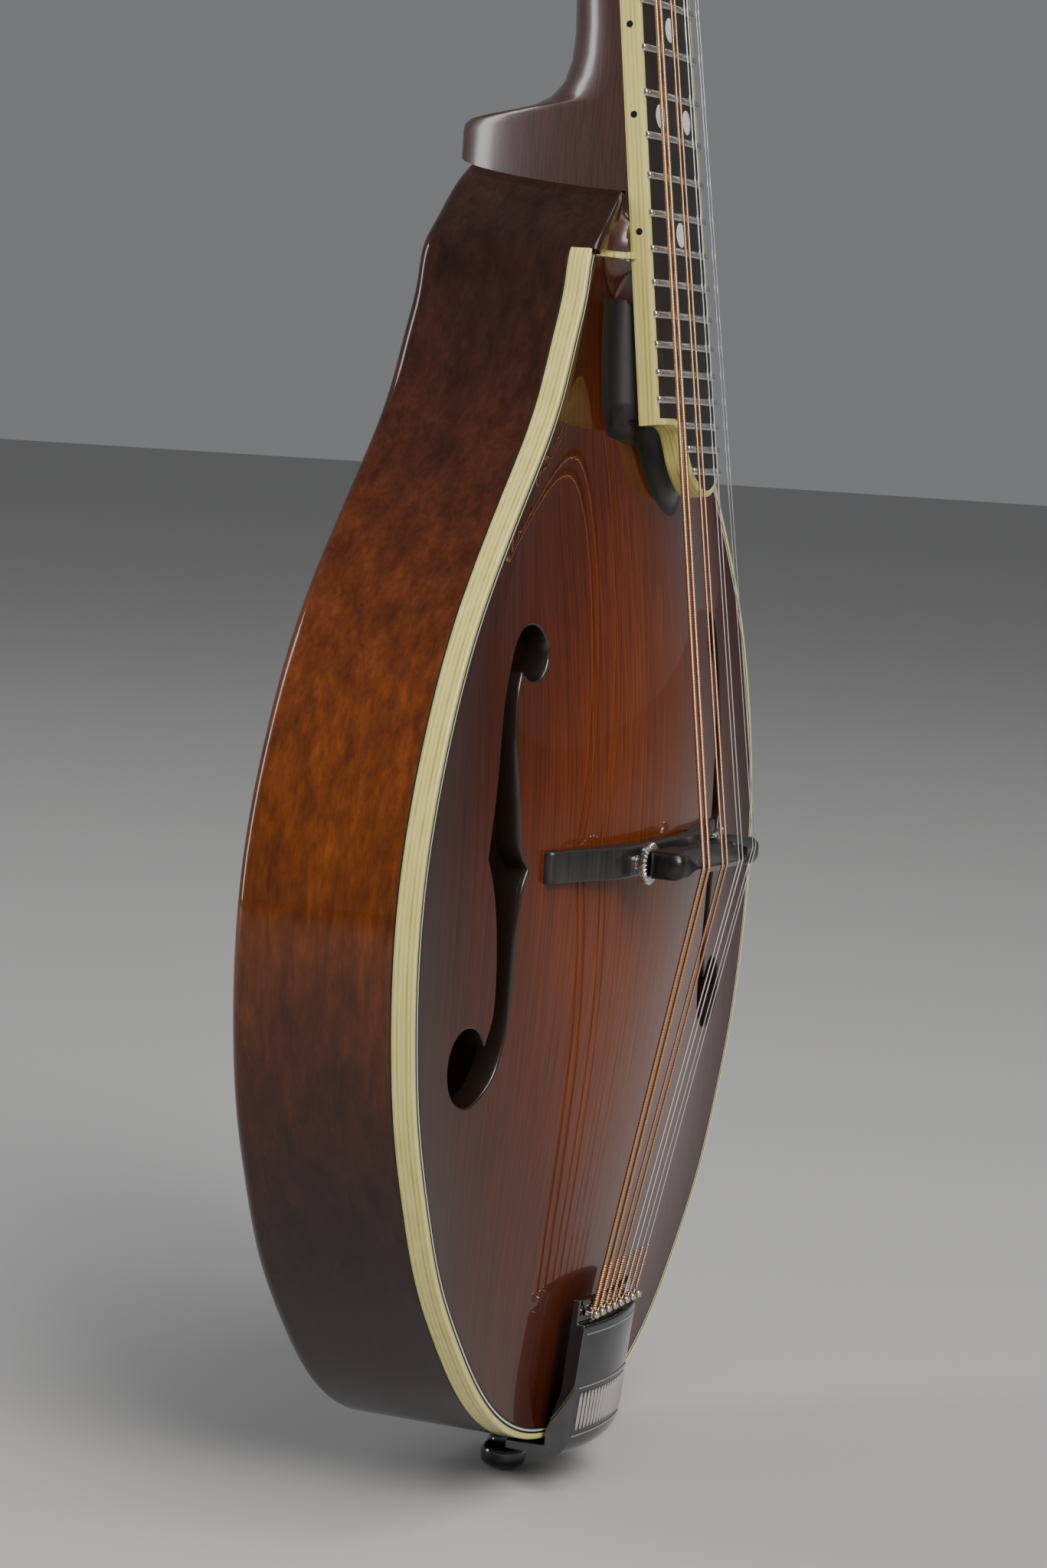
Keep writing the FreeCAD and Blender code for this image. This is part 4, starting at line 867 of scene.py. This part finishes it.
def cheek_front(x):
    """Height of the coved cheek beside the neck, along the joint line."""
    reach = abs(abs(x) - 13.0)
    if reach >= 14.4:
        return 0.0
    if reach <= 8.0:
        return 6.4
    share = (14.4 - reach) / 6.4
    return 0.6 + 5.8 * (1 - math.sqrt(max(0.0, 1 - share ** 2.2)))


for side in (-1, 1):
    rows = []
    for x in [34.6, 32.0, 30.0, 28.5, 27.5, 27.3, 27.0, 26.5, 26.0, 25.4, 24.8, 24.2, 23.6, 23.0, 22.4,
              21.8, 21.3, 21.0, 18.0, 15.0, 13.5]:
        front = cheek_front(x)
        front = min(front, 6.05 + 0.02 * (19 - x))
        rows.append([at(side * x, front, 0.0), at(side * x, front, 0.12), at(side * x, front, 1.48),
                     at(side * x, front - 0.12, 1.6), at(side * x, -5.5, 1.6), at(side * x, -5.5, 0.0)])
    binding_shape.grid(rows, 0, around=True, ends=True)
piece("top_binding_ivoroid", binding_shape, [IVOROID], ["top_binding"], sharp=50)

line_shape = Shape()
for inset, kind in ((BINDING_W, 0), (BINDING_W + 0.5, 1), (BINDING_W + 1.0, 0)):
    line_shape.sweep(BELOW, [(inset, -1.4), (inset, 0.0), (inset + 0.5, 0.0), (inset + 0.5, -1.4)], kind)
line_shape.sweep(BELOW, [(1.5, -EDGE_T), (0.0, -EDGE_T), (-0.01, -EDGE_T + 0.25),
                         (0.0, -EDGE_T + LINE_T), (1.5, -EDGE_T + LINE_T)], 0)
piece("purfling_lines", line_shape, [LINE_BLACK, LINE_WHITE], ["purfling"], sharp=50)


# ---------------------------------------------------------------- fingerboard

def board_half_width(u):
    return (NUT_WIDTH + WIDTH_GROWTH * u) / 2


def fret_position(number):
    return SCALE * (1 - 2 ** (-number / 12))


def crown(v, drop):
    """Depth behind the fret tops of the radiused playing surface."""
    return drop + BOARD_R - math.sqrt(BOARD_R ** 2 - v * v)


def board_end(inset):
    """The board's ogee end, from the bass corner to the treble edge, moved inward."""
    curve = open_spline(BOARD_END, 60)
    points = [(BOARD_END_U - inset, -board_half_width(BOARD_END_U) + inset),
              (BOARD_END_U - inset, -15.0), (BOARD_END_U - inset, BOARD_END[0][1])]
    for before, here, after in zip(curve, curve[1:], curve[2:]):
        du, dv = after - before
        length = math.hypot(du, dv)
        points.append((here[0] - inset * dv / length, here[1] + inset * du / length))
    last = BOARD_END[-1][0] - 0.6 * inset
    points.append((last, board_half_width(last) - inset))
    return points


def board_loop(inset, start):
    """Closed outline of the fingerboard as (u, v), with even points along its long edges."""
    end = board_end(inset)
    loop = [(u, -board_half_width(u) + inset) for u in np.linspace(start, end[0][0] - 3, 60)]
    loop += end
    loop += [(u, board_half_width(u) - inset) for u in np.linspace(end[-1][0] - 3, start, 60)]
    half = board_half_width(start) - inset
    loop += [(start, v) for v in np.linspace(half, -half, 22)[1:-1]]
    return np.array(loop)


def board_slab(inset, start, drop, material, name, stands_for):
    loop = board_loop(inset, start)
    flat, triangles = filled(loop, [], 3.0)
    shape = Shape()
    shape.add([neck_point(u, v, crown(v, drop)) for u, v in flat], [tuple(t) for t in triangles])
    low = [neck_point(u, v, BOARD_BACK) for u, v in loop]
    high = [neck_point(u, v, crown(v, drop)) for u, v in loop]
    shape.grid([high, low], 0, around=True)
    shape.add([neck_point(u, v, BOARD_BACK) for u, v in flat], [tuple(reversed(t)) for t in triangles])
    return piece(name, shape, [material], stands_for, sharp=40)


board_slab(BINDING_W, 0.0, 1.0, BOARD_EBONY, "fingerboard_ebony", ["fingerboard"])

outer_loop = board_loop(0.0, 0.0)
middle_loops = [(0.0, 0.45), (0.06, 0.2), (0.2, 0.06), (0.45, 0.0)]
binding_rows = [[neck_point(u, v, BOARD_BACK) for u, v in outer_loop]]
binding_rows.append([neck_point(u, v, crown(v, 1.0) + 3.0) for u, v in outer_loop])
for inset, drop in middle_loops:
    loop = board_loop(inset, 0.0)
    binding_rows.append([neck_point(u, v, crown(v, 1.0 + drop)) for u, v in loop])
inner_loop = board_loop(BINDING_W, 0.0)
binding_rows.append([neck_point(u, v, crown(v, 1.0)) for u, v in inner_loop])
binding_rows.append([neck_point(u, v, BOARD_BACK) for u, v in inner_loop])
shape = Shape()
shape.grid(binding_rows, 0, around=True)
piece("fingerboard_ivoroid", shape, [IVOROID_NECK], ["fingerboard_binding"], sharp=60)

shape = Shape()
for number in range(1, 24):
    u = fret_position(number)
    left = -board_half_width(u) + 0.4
    if number > 20:
        left = {21: -9.2, 22: -4.2, 23: -1.4}[number]
    right = board_half_width(u) - 0.4
    rows = []
    stations = [(left, 0.55, 0.35), (left + 0.06, 0.82, 0.7), (left + 0.25, 0.95, 0.92)]
    stations += [(v, 1.0, 1.0) for v in np.linspace(left + 0.7, right - 0.7, 15)]
    stations += [(right - 0.25, 0.95, 0.92), (right - 0.06, 0.82, 0.7), (right, 0.55, 0.35)]
    for v, wide, tall in stations:
        row = [neck_point(u - wide, v, crown(v, 1.04))]
        for step in range(9):
            angle = math.pi * step / 8
            rise = math.sin(angle) ** 0.75 * tall
            row.append(neck_point(u - wide * math.cos(angle), v, crown(v, 1.0 - rise)))
        row.append(neck_point(u + wide, v, crown(v, 1.04)))
        rows.append(row)
    shape.grid(rows, 0, around=True, ends=True)
piece("frets_rounded", shape, [FRET_METAL], ["frets"], sharp=60)

shape = Shape()
for number, offsets in ((5, [0]), (7, [0]), (10, [0]), (12, [-9.0, 9.0]), (15, [0])):
    middle = (fret_position(number) + fret_position(number - 1)) / 2
    for v in offsets:
        rows = []
        for radius in (3.1, 3.06, 2.0, 1.0, 0.0):
            row = []
            for s in range(40):
                a = TURN * s / 40
                u1, v1 = middle + radius * math.cos(a), v + radius * math.sin(a)
                row.append(neck_point(u1, v1, crown(v1, 0.985 if radius < 3.1 else 1.02)))
            rows.append(row)
        shape.grid(rows, 0, around=True)
piece("position_dots_pearl", shape, [PEARL], ["position_dots"], sharp=60)

shape = Shape()
for number in (3, 5, 7, 10, 12, 15):
    middle = (fret_position(number) + fret_position(number - 1)) / 2
    edge = -board_half_width(middle)
    rows = []
    for radius, out in ((0.9, -0.1), (0.88, 0.03), (0.5, 0.05), (0.0, 0.05)):
        rows.append([neck_point(middle + radius * math.cos(TURN * s / 24), edge - out,
                                4.6 + radius * math.sin(TURN * s / 24)) for s in range(24)])
    shape.grid(rows, 0, around=True)
piece("side_dots_black", shape, [BLACK], ["side_dots"], sharp=60)

shape = Shape()
edge = board_loop(2.0, 200.0)
front_row = [neck_point(u, v, BOARD_BACK) for u, v in edge]
rows = [front_row]
for share in np.linspace(0.0, 1.0, 13):
    flare = 8.0 * (1 - math.sqrt(1 - share ** 1.7))
    row = []
    for (u, v), base in zip(grown(edge, flare), front_row):
        point = neck_point(u, v, BOARD_BACK)
        down = JOINT_Z - point.z
        surface = EDGE_Y - float(top_outer(point.x, down)) + 0.15
        row.append(Vector((point.x, base.y + (surface - base.y) * share, point.z)))
    rows.append(row)
kept = [i for i, point in enumerate(front_row) if JOINT_Z - point.z > 11.4]
rows = [[row[i] for i in kept] for row in rows]
shape.grid(rows, 0, around=True)
piece("fingerboard_support_wood", shape, [EBONY_DARK], ["fingerboard_support"], sharp=50)

# ---------------------------------------------------------------- neck, headstock and inner pieces

refined("neck", NECK_WOOD, sharp=32)
refined("head_block", BLOCK)
for node in ("tail_block", "top_lining", "back_lining", "tone_bars"):
    refined(node, BARE)
refined("headstock_veneer", EBONY_DARK, bevel=0.35)
refined("nut", BONE, bevel=0.3)
refined("truss_rod_cover", BLACK, bevel=0.3)
refined("truss_rod", STEEL)
refined("truss_rod_nut", BRASS, bevel=0.2)
refined("truss_rod_cover_screws", NICKEL, bevel=0.12)
refined("tuner_plates", NICKEL, bevel=0.2)
refined("tuner_plate_screws", NICKEL, bevel=0.15)
refined("post_bushings", NICKEL, bevel=0.25)
refined("tailpiece_screws", NICKEL, bevel=0.12)

# ---------------------------------------------------------------- bridge

base_half = [(54.5, 9.9), (51.0, 10.8), (47.0, 11.9), (43.0, 13.2), (39.0, 14.7), (35.5, 16.2),
             (32.0, 17.5), (29.5, 18.1), (27.8, 18.3)]
base_curve = np.array(open_spline(base_half, 60))[::-1]


def base_front(x):
    """Height of the bridge base's upper side."""
    x = abs(x)
    if x <= 27.8:
        return 18.3
    if x >= 54.5:
        return float(np.interp(x, [54.5, 56.0, 56.5], [9.9, 9.3, 8.7]))
    return float(np.interp(x, base_curve[:, 0], base_curve[:, 1]))


def bridge_section(x, half, top, bottom, bend):
    """Rounded section across the bridge at one place along it."""
    start, end = BRIDGE_DOWN - half, BRIDGE_DOWN + half
    angles = [math.pi / 2 * step / 5 for step in range(6)]
    row = [at(x, bottom(start), start)]
    for angle in angles:
        row.append(at(x, top - bend * (1 - math.sin(angle)), start + bend * (1 - math.cos(angle))))
    for angle in angles:
        row.append(at(x, top - bend * (1 - math.cos(angle)), end - bend * (1 - math.sin(angle))))
    for down in (end, start + 1.2 * half, start + 0.4 * half):
        row.append(at(x, bottom(down), down))
    return row


shape = Shape()
rows = []
stations = [-56.5, -56.42, -56.2, -55.8, -55.2] + list(np.linspace(-54.5, -22.1, 50))
stations += list(np.linspace(-21.9, 21.9, 16)) + [-x for x in reversed(stations)]
for x in stations:
    end = max(0.0, (abs(x) - 55.8) / 0.7)
    lift = 1.2 if abs(x) < 22 else 0.06
    rows.append(bridge_section(
        x, 4.0 - 0.35 * end ** 2, base_front(x) - 0.3 * end,
        lambda down, x=x, lift=lift: float(top_outer(x, down)) + lift, 0.9))
shape.grid(rows, 0, around=True, ends=True)
piece("bridge_base_rounded", shape, [SHEEN_LIGHTENED_EBONY], ["bridge_base"], sharp=50)


def saddle_front(x):
    return 34.9 - x * x / (2 * BOARD_R)


def saddle_crest(x):
    """How far down the strings cross the saddle: the treble pair's part is set nearer."""
    return 150.3 if x < 12 else 147.9


shape = Shape()
rows = []
stations = [-29.0, -28.97, -28.8, -28.5, -28.0, -27.4, -26.6, -25.5, -24.0, -23.3, -22.6, -21.8, -21.0,
            -20.4, -18.0, -15.0, -13.1, -12.9, -8.0, -4.0]
stations = stations + [0.0, 4.0, 8.0, 11.7, 12.3] + [-x for x in reversed(stations[:-2])]
for x in stations:
    side = abs(x)
    end = max(0.0, (side - 26.4) / 2.6)
    shrink = math.sqrt(max(0.0, 1 - end ** 2.6))
    blunt = min(max((side - 20.5) / 3.5, 0.0), 1.0)
    blunt = blunt * blunt * (3 - 2 * blunt)
    top = saddle_front(min(side, 25.0)) - 1.0 * blunt - 3.0 * (1 - shrink)
    low = 25.2 if side < 13 else 23.2 + 2.6 * (1 - shrink)
    half = 3.5 * (0.35 + 0.65 * shrink)
    crest = saddle_crest(x) * (1 - blunt) + BRIDGE_DOWN * blunt
    flat = 0.22 + (half - 2.6) * blunt if half > 2.6 else 0.22
    shoulder = 29.4 * (1 - blunt) + (top - 2.6) * blunt
    row = []
    for way, order in ((-1, range(1, 8)), (1, range(7, 0, -1))):
        edge = BRIDGE_DOWN + way * half
        crest_edge = way * min(way * crest + flat, way * edge)
        wall = [at(x, low, edge - way * 0.5), at(x, low + 0.5, edge), at(x, shoulder, edge)]
        slope = []
        for step in order:
            a = math.pi / 2 * step / 7
            share_down = (1 - blunt) * step / 7 + blunt * (1 - math.cos(a))
            share_up = (1 - blunt) * step / 7 + blunt * math.sin(a)
            slope.append(at(x, shoulder + (top - shoulder) * share_up,
                            edge + (crest_edge - edge) * share_down))
        row.extend(wall + slope if way < 0 else slope + wall[::-1])
    rows.append(row)
shape.grid(rows, 0, around=True, ends=True)
bevelled(piece("bridge_saddle_rounded", shape, [EBONY_DARK], ["bridge_saddle"], "saddle", sharp=35),
         0.35, 3, 30)

for name, x in (("bass", -25.0), ("treble", 25.0)):
    shape = Shape()
    rows = []
    for inset, front in ((3.55, 20.9), (0.9, 20.9), (0.45, 21.05), (0.0, 21.45), (0.0, 22.55),
                         (0.45, 22.95), (0.9, 23.1), (3.55, 23.1), (3.55, 20.9)):
        row = []
        for s in range(28 * 8):
            phase = (s % 8) / 8
            notch = 0.42 * max(0.0, math.cos(2 * math.pi * phase)) ** 1.5 if inset < 0.8 else 0.0
            radius = 5.3 - inset - notch
            a = TURN * s / (28 * 8)
            row.append(at(x + radius * math.cos(a), front, BRIDGE_DOWN + radius * math.sin(a)))
        rows.append(row)
    shape.grid(rows, 0, around=True)
    wheel = "thumbwheel_" + name
    piece(wheel + "_knurled", shape, [NICKEL], [wheel], wheel, sharp=40)

shape = Shape()
for x in (-25.0, 25.0):
    place = Matrix.Translation(at(x, 0, BRIDGE_DOWN)) @ Matrix.Rotation(math.pi / 2, 4, "X")
    profile = [(0.0, 14.3), (1.75, 14.3)]
    height = 18.6
    while height < 30.3:
        profile += [(1.74, height), (1.74, height + 0.12), (1.5, height + 0.35), (1.5, height + 0.45)]
        height += 0.7
    profile += [(1.4, 30.9), (0.0, 30.9)]
    shape.lathe(place, profile, 32)
piece("bridge_studs_threaded", shape, [NICKEL], ["bridge_studs"], sharp=25)

# ---------------------------------------------------------------- tailpiece and strap button

side_view = [
    (8.8, 264.0), (10.9, 264.0), (10.5, 270.2), (12.3, 270.3), (12.6, 271.2), (11.9, 278.0),
    (11.1, 286.0), (10.3, 294.0), (9.6, 300.5), (9.25, 302.2), (8.6, 303.5), (7.7, 304.4),
    (6.4, 305.0), (4.0, 305.2), (0.0, 305.2), (-5.0, 305.2), (-9.5, 305.2), (-9.5, 302.75),
    (1.2, 302.75), (1.2, 299.0), (6.9, 288.0)]


def crown_drop(x, front):
    """How far the tailpiece's cover falls away to the sides."""
    return x * x / 140.0 * min(max((front - 3.0) / 4.0, 0.0), 1.0)


shape = Shape()
rows = []
for x in np.linspace(-17.5, 17.5, 29):
    rows.append([at(x, front - crown_drop(x, front), down) for front, down in side_view])
shape.grid(rows, 0, around=True, ends=True)


def cover_point(x, down, rise):
    front = float(np.interp(down, [271.2, 278.0, 286.0, 294.0, 300.5], [12.6, 11.9, 11.1, 10.3, 9.6]))
    return at(x, front - crown_drop(x, front) + rise, down)


ribs = Shape()
for i in range(17):
    x = -14.4 + 1.8 * i
    path = [cover_point(x, down, 0.02) for down in np.linspace(288.4, 298.2, 9)]
    ribs.tube(path, [0.25, 0.5, 0.55, 0.55, 0.55, 0.55, 0.55, 0.5, 0.25], 14)
for down in (286.9, 299.7):
    ribs.tube([cover_point(x, down, 0.0) for x in np.linspace(-16.3, 16.3, 23)], 0.32, 10)
ribs.tube([cover_point(x, 272.6, 0.0) for x in np.linspace(-16.6, 16.6, 23)], 0.28, 10)
for x in PEG_X:
    place = Matrix.Translation(at(x, 9.6, 267.6)) @ Matrix.Rotation(math.pi / 2, 4, "X")
    ribs.lathe(place, [(0.0, -0.2), (0.85, -0.2), (0.7, 0.4), (0.7, 1.9), (1.0, 2.2), (1.05, 2.7),
                       (0.8, 3.1), (0.4, 3.2), (0.0, 3.2)], 20)
bevelled(piece("tailpiece_body", shape, [DARK_NICKEL], ["tailpiece"], sharp=30), 0.35, 3, 30)
piece("tailpiece_flutes", ribs, [NICKEL], ["tailpiece"], sharp=50)

shape = Shape()
tail_z = JOINT_Z - TAIL_DOWN
profile = [(0, -4.0), (1.6, -3.93), (3.0, -3.7), (4.2, -3.3), (5.1, -2.7), (5.7, -2.0), (5.97, -1.4),
           (6.0, -0.6), (6.0, 0.6), (5.95, 1.4), (5.6, 2.1), (5.0, 2.8), (4.4, 3.4), (4.05, 4.1),
           (3.95, 4.8), (4.1, 5.5), (4.5, 6.1), (5.1, 6.6), (5.5, 6.9), (5.6, 7.3), (5.6, 8.6),
           (5.4, tail_z), (0, tail_z)]
shape.lathe(Matrix.Identity(4), profile, 64)
piece("end_button_turned", shape, [BLACK], ["end_button"], sharp=60)

# ---------------------------------------------------------------- strings

def tangent_end(start, post_x, post_z, radius, side):
    dx, dz = post_x - start.x, post_z - start.z
    distance = math.hypot(dx, dz)
    heading = math.atan2(dx, dz) + side * math.asin(radius / distance)
    reach = math.sqrt(distance ** 2 - radius ** 2)
    return Vector((start.x + reach * math.sin(heading), -7.6, start.z + reach * math.cos(heading)))


def softened(corners, reach):
    """Path through the corners with each bend rounded over a short reach."""
    path = [corners[0]]
    for before, corner, after in zip(corners, corners[1:], corners[2:]):
        start = corner + (before - corner).normalized() * reach
        end = corner + (after - corner).normalized() * reach
        for t in (0.0, 0.25, 0.5, 0.75, 1.0):
            path.append(start * (1 - t) ** 2 + corner * (2 * t * (1 - t)) + end * t ** 2)
    path.append(corners[-1])
    return path


def post_place(index):
    side = HEAD if index < 4 else HEAD @ OTHER_SIDE
    return side @ Matrix.Translation((-TUNER_X, GEAR_MID, FIRST_POST_Z + POST_SPACING * (index % 4)))


wound, plain, twists = Shape(), Shape(), Shape()
for index in range(8):
    radius = STRING_R[index]
    target = wound if index < 4 else plain
    x = SADDLE_X[index]
    on_saddle = at(x, saddle_front(x) + radius + 0.03, saddle_crest(x))
    nut_x = NUT_X[index]
    on_nut = NECK @ Vector((nut_x, -0.3 + nut_x ** 2 / (2 * BOARD_R) - radius, JOINT_U + 0.8))
    loop_centre = at(PEG_X[index], 11.35, 267.6)
    on_peg = at(PEG_X[index], 11.35, 267.6 - 1.4)
    in_head = HEAD.inverted() @ on_nut
    post = HEAD.inverted() @ post_place(index).translation
    on_post = HEAD @ tangent_end(in_head, post.x, post.z, POST_GROOVE_R + radius,
                                 1 if index < 4 else -1)
    target.tube(softened([on_peg, on_saddle, on_nut, on_post], 0.7), radius, 12)
    ring = []
    for s in range(28):
        a = TURN * s / 28
        ring.append(loop_centre + Vector((1.35 * math.cos(a), 0, 1.35 * math.sin(a))))
    twists.tube(ring, 0.2, 8, closed=True)
    along = (on_saddle - on_peg).normalized()
    side = along.orthogonal().normalized()
    other = along.cross(side)
    path = []
    for s in range(200):
        a = TURN * s / 10
        path.append(on_peg + along * (0.2 + 12.0 * s / 200)
                    + (side * math.cos(a) + other * math.sin(a)) * (radius * 0.8 + 0.14))
    twists.tube(path, 0.17, 6)
piece("wound_strings_round", wound, [WINDING], ["wound_strings"], sharp=80)
piece("plain_strings_round", plain, [STEEL], ["plain_strings"], sharp=80)
piece("string_loop_twists", twists, [BRONZE_PLAIN], ["wound_strings"], sharp=80)

# ---------------------------------------------------------------- tuners

def gear_ring(y, twist):
    points = []
    pitch_r = GEAR_MODULE * GEAR_TEETH / 2
    for tooth in range(GEAR_TEETH):
        middle = -90 + 360 / GEAR_TEETH * (tooth + 0.5)
        for radius, half in ((pitch_r - 0.74, -0.634), (pitch_r + 0.2, -0.36), (pitch_r + 0.56, -0.16),
                             (pitch_r + 0.56, 0.16), (pitch_r + 0.2, 0.36), (pitch_r - 0.74, 0.634)):
            a = math.radians(middle + math.degrees(half / radius) - twist)
            points.append(Vector((radius * math.cos(a), y, radius * math.sin(a))))
    return points


along_y = Matrix.Rotation(-math.pi / 2, 4, "X")
along_x = Matrix.Rotation(math.pi / 2, 4, "Y")
for index in range(8):
    place = post_place(index)
    number = str(index + 1)
    side = 1 if index < 4 else -1

    knob = Shape()
    low = place @ Matrix.Translation((0, 0, -WORM_DROP))
    knob.lathe(low @ along_x, [
        (0, -29.0), (1.5, -29.0), (1.5, -15.4), (2.4, -15.3), (2.55, -14.6), (2.4, -13.9), (1.5, -13.8),
        (1.5, -6.15), (1.65, -6.1), (1.65, 6.1), (1.5, 6.15), (1.5, 7.6), (1.3, 7.9), (0, 7.9)], 28)
    rows = []
    for s in range(5 * 24 + 1):
        a = TURN * s / 24
        x = WORM_LEAD * (s / 24 - 2.5)
        radial = Vector((0, math.sin(a), -math.cos(a)))
        taper = min(1.0, s / 14, (120 - s) / 14)
        top = 1.6 + 1.34 * taper
        rows.append([low @ (Vector((x + dx, 0, 0)) + radial * r)
                     for dx, r in ((-0.72, 1.5), (-0.26, top - 0.12), (-0.12, top), (0.12, top),
                                   (0.26, top - 0.12), (0.72, 1.5))])
    knob.grid(rows, 0, around=True, ends=True)
    button = [(-16.6, 2.5), (-17.2, 3.1), (-18.5, 4.2), (-20.5, 5.25), (-23.0, 5.95), (-25.5, 6.05),
              (-28.0, 5.5), (-29.8, 4.5), (-31.0, 3.2), (-31.6, 1.7), (-31.8, 0.0)]
    profile = open_spline(button, 40)
    rows = []
    for x, radius in profile:
        radius = max(radius, 0.0)
        thick = 3.35 * min(1.0, (radius / 5.6)) ** 0.72
        thick = min(thick, max(radius, 0.0))
        row = []
        for s in range(40):
            a = TURN * s / 40
            c, d = math.cos(a), math.sin(a)
            row.append(low @ Vector((x, math.copysign(abs(d) ** 0.75, d) * thick,
                                     math.copysign(abs(c) ** 0.95, c) * radius)))
        rows.append(row)
    rows.insert(0, [low @ Vector((-16.6, 0, 0))] * 40)
    knob.grid(rows, 1, around=True)
    name = "tuner_knob_" + number
    piece(name + "_turned", knob, [NICKEL, BUTTON], [name], name, sharp=45)

    post = Shape()
    front = -GEAR_MID
    post.lathe(place @ along_y, [
        (0, front - 12.5), (1.6, front - 12.45), (2.4, front - 12.2), (2.85, front - 11.7),
        (3.0, front - 11.1), (3.0, front - 10.5), (2.85, front - 10.25), (2.6, front - 10.0),
        (2.6, front - 3.7), (2.85, front - 3.5), (3.0, front - 3.2), (3.0, -1.55), (0, -1.55)], 40)
    rings = [gear_ring(y, twist)
             for y, twist in ((-1.5, -1.6), (-1.35, -1.5), (0.0, 0.0), (1.35, 1.5), (1.5, 1.6))]
    for end in (0, -1):
        rings[end] = [Vector((p.x * 0.975, p.y, p.z * 0.975)) for p in rings[end]]
    post.grid([[place @ p for p in ring] for ring in rings], 1, around=True, ends=True)
    screw = [(0, 1.5), (2.5, 1.5), (2.5, 2.3), (2.3, 2.65), (1.9, 2.8), (0, 2.82)]
    post.lathe(place @ along_y, screw, 32)
    # Painted shade: a thin black sheet on the screw head stands for its slot instead of a cut.
    post.block(place, (4.2, 0.06, 0.5), (0, 2.83, 0), 2)
    name = "string_post_" + number
    piece(name + "_turned", post, [NICKEL, BRASS, LINE_BLACK], [name], name, sharp=35)

    wrap = Shape()
    radius = STRING_R[index]
    coil_r = POST_GROOVE_R + radius
    turns = WRAP_TURNS[index]
    start = -GEAR_MID - 7.6 + radius + 0.07
    path = []
    for s in range(int(24 * (turns - 0.6)) + 1):
        a = side * TURN * s / 24
        path.append(place @ Vector((coil_r * math.cos(a), start + 2 * radius * s / 24 + radius,
                                    coil_r * math.sin(a))))
    wrap.tube(path, radius * 0.98, 8)
    hole = -GEAR_MID - 9.0
    stub = [Vector((-3.9, hole + 0.3, 0.6)), Vector((-3.2, hole, 0.1)), Vector((-2.0, hole, 0)),
            Vector((2.0, hole, 0)), Vector((2.9, hole + 0.2, 0.2)), Vector((3.3, hole + 0.9, 0.8))]
    wrap.tube([place @ p for p in stub], radius * 0.95, 8)
    name = "string_wrap_" + number
    material, slot = (WINDING, "bronze") if index < 4 else (STEEL, "steel")
    piece(name + "_coil", wrap, [material], [name], "string_post_" + number, sharp=80)

# ---------------------------------------------------------------- stage, light and camera

FLOOR_R = 14               # metres
FLOOR_Z = -4.05            # just under the strap button
floor_mesh = bpy.data.meshes.new("floor")
edge = [(FLOOR_R * math.cos(TURN * s / 96), FLOOR_R * math.sin(TURN * s / 96), FLOOR_Z * MM)
        for s in range(96)]
floor_mesh.from_pydata(edge, [], [tuple(range(96))])
floor_look = Look("Floor", roughness=0.75)
floor_mesh.materials.append(floor_look.plain((0.50, 0.495, 0.49)))
floor = bpy.data.objects.new("floor", floor_mesh)
bpy.context.scene.collection.objects.link(floor)

world = bpy.data.worlds.new("Studio")
world.use_nodes = True
world.node_tree.nodes["Background"].inputs["Color"].default_value = (0.62, 0.63, 0.65, 1)
world.node_tree.nodes["Background"].inputs["Strength"].default_value = 0.3
bpy.context.scene.world = world


def softbox(name, place, target, width, height, watts, colour=(1, 1, 1)):
    lamp = bpy.data.lights.new(name, "AREA")
    lamp.shape = "RECTANGLE"
    lamp.size = width
    lamp.size_y = height
    lamp.energy = watts
    lamp.color = colour
    made = bpy.data.objects.new(name, lamp)
    made.location = place
    made.rotation_mode = "QUATERNION"
    made.rotation_quaternion = (Vector(target) - Vector(place)).to_track_quat("-Z", "Y")
    bpy.context.scene.collection.objects.link(made)


softbox("key", (-1.5, -1.7, 1.7), (0, 0, 0.25), 1.3, 1.3, 62, (1.0, 0.97, 0.93))
softbox("edge", (-0.9, 1.9, 0.9), (0, 0, 0.2), 0.5, 1.8, 26)
softbox("overhead", (-0.5, -1.0, 2.3), (0, 0, 0.3), 1.2, 1.2, 24)

camera = bpy.data.cameras.new("camera")
camera.sensor_fit = "AUTO"
camera.sensor_width = 36.0
camera.lens = 90.46
camera.clip_start = 0.02
camera.clip_end = 60.0
eye = bpy.data.objects.new("camera", camera)
bpy.context.scene.collection.objects.link(eye)
bpy.context.scene.camera = eye
right = Vector((0.390, -0.919, 0.064)).normalized()
up = Vector((0.065, 0.0964, 0.9929)).normalized()
back = right.cross(up).normalized()
up = back.cross(right)
turn = Matrix((right, up, back)).transposed()
eye.matrix_world = Matrix.Translation(Vector((-932.9, -382.6, 274.1)) * MM) @ turn.to_4x4()
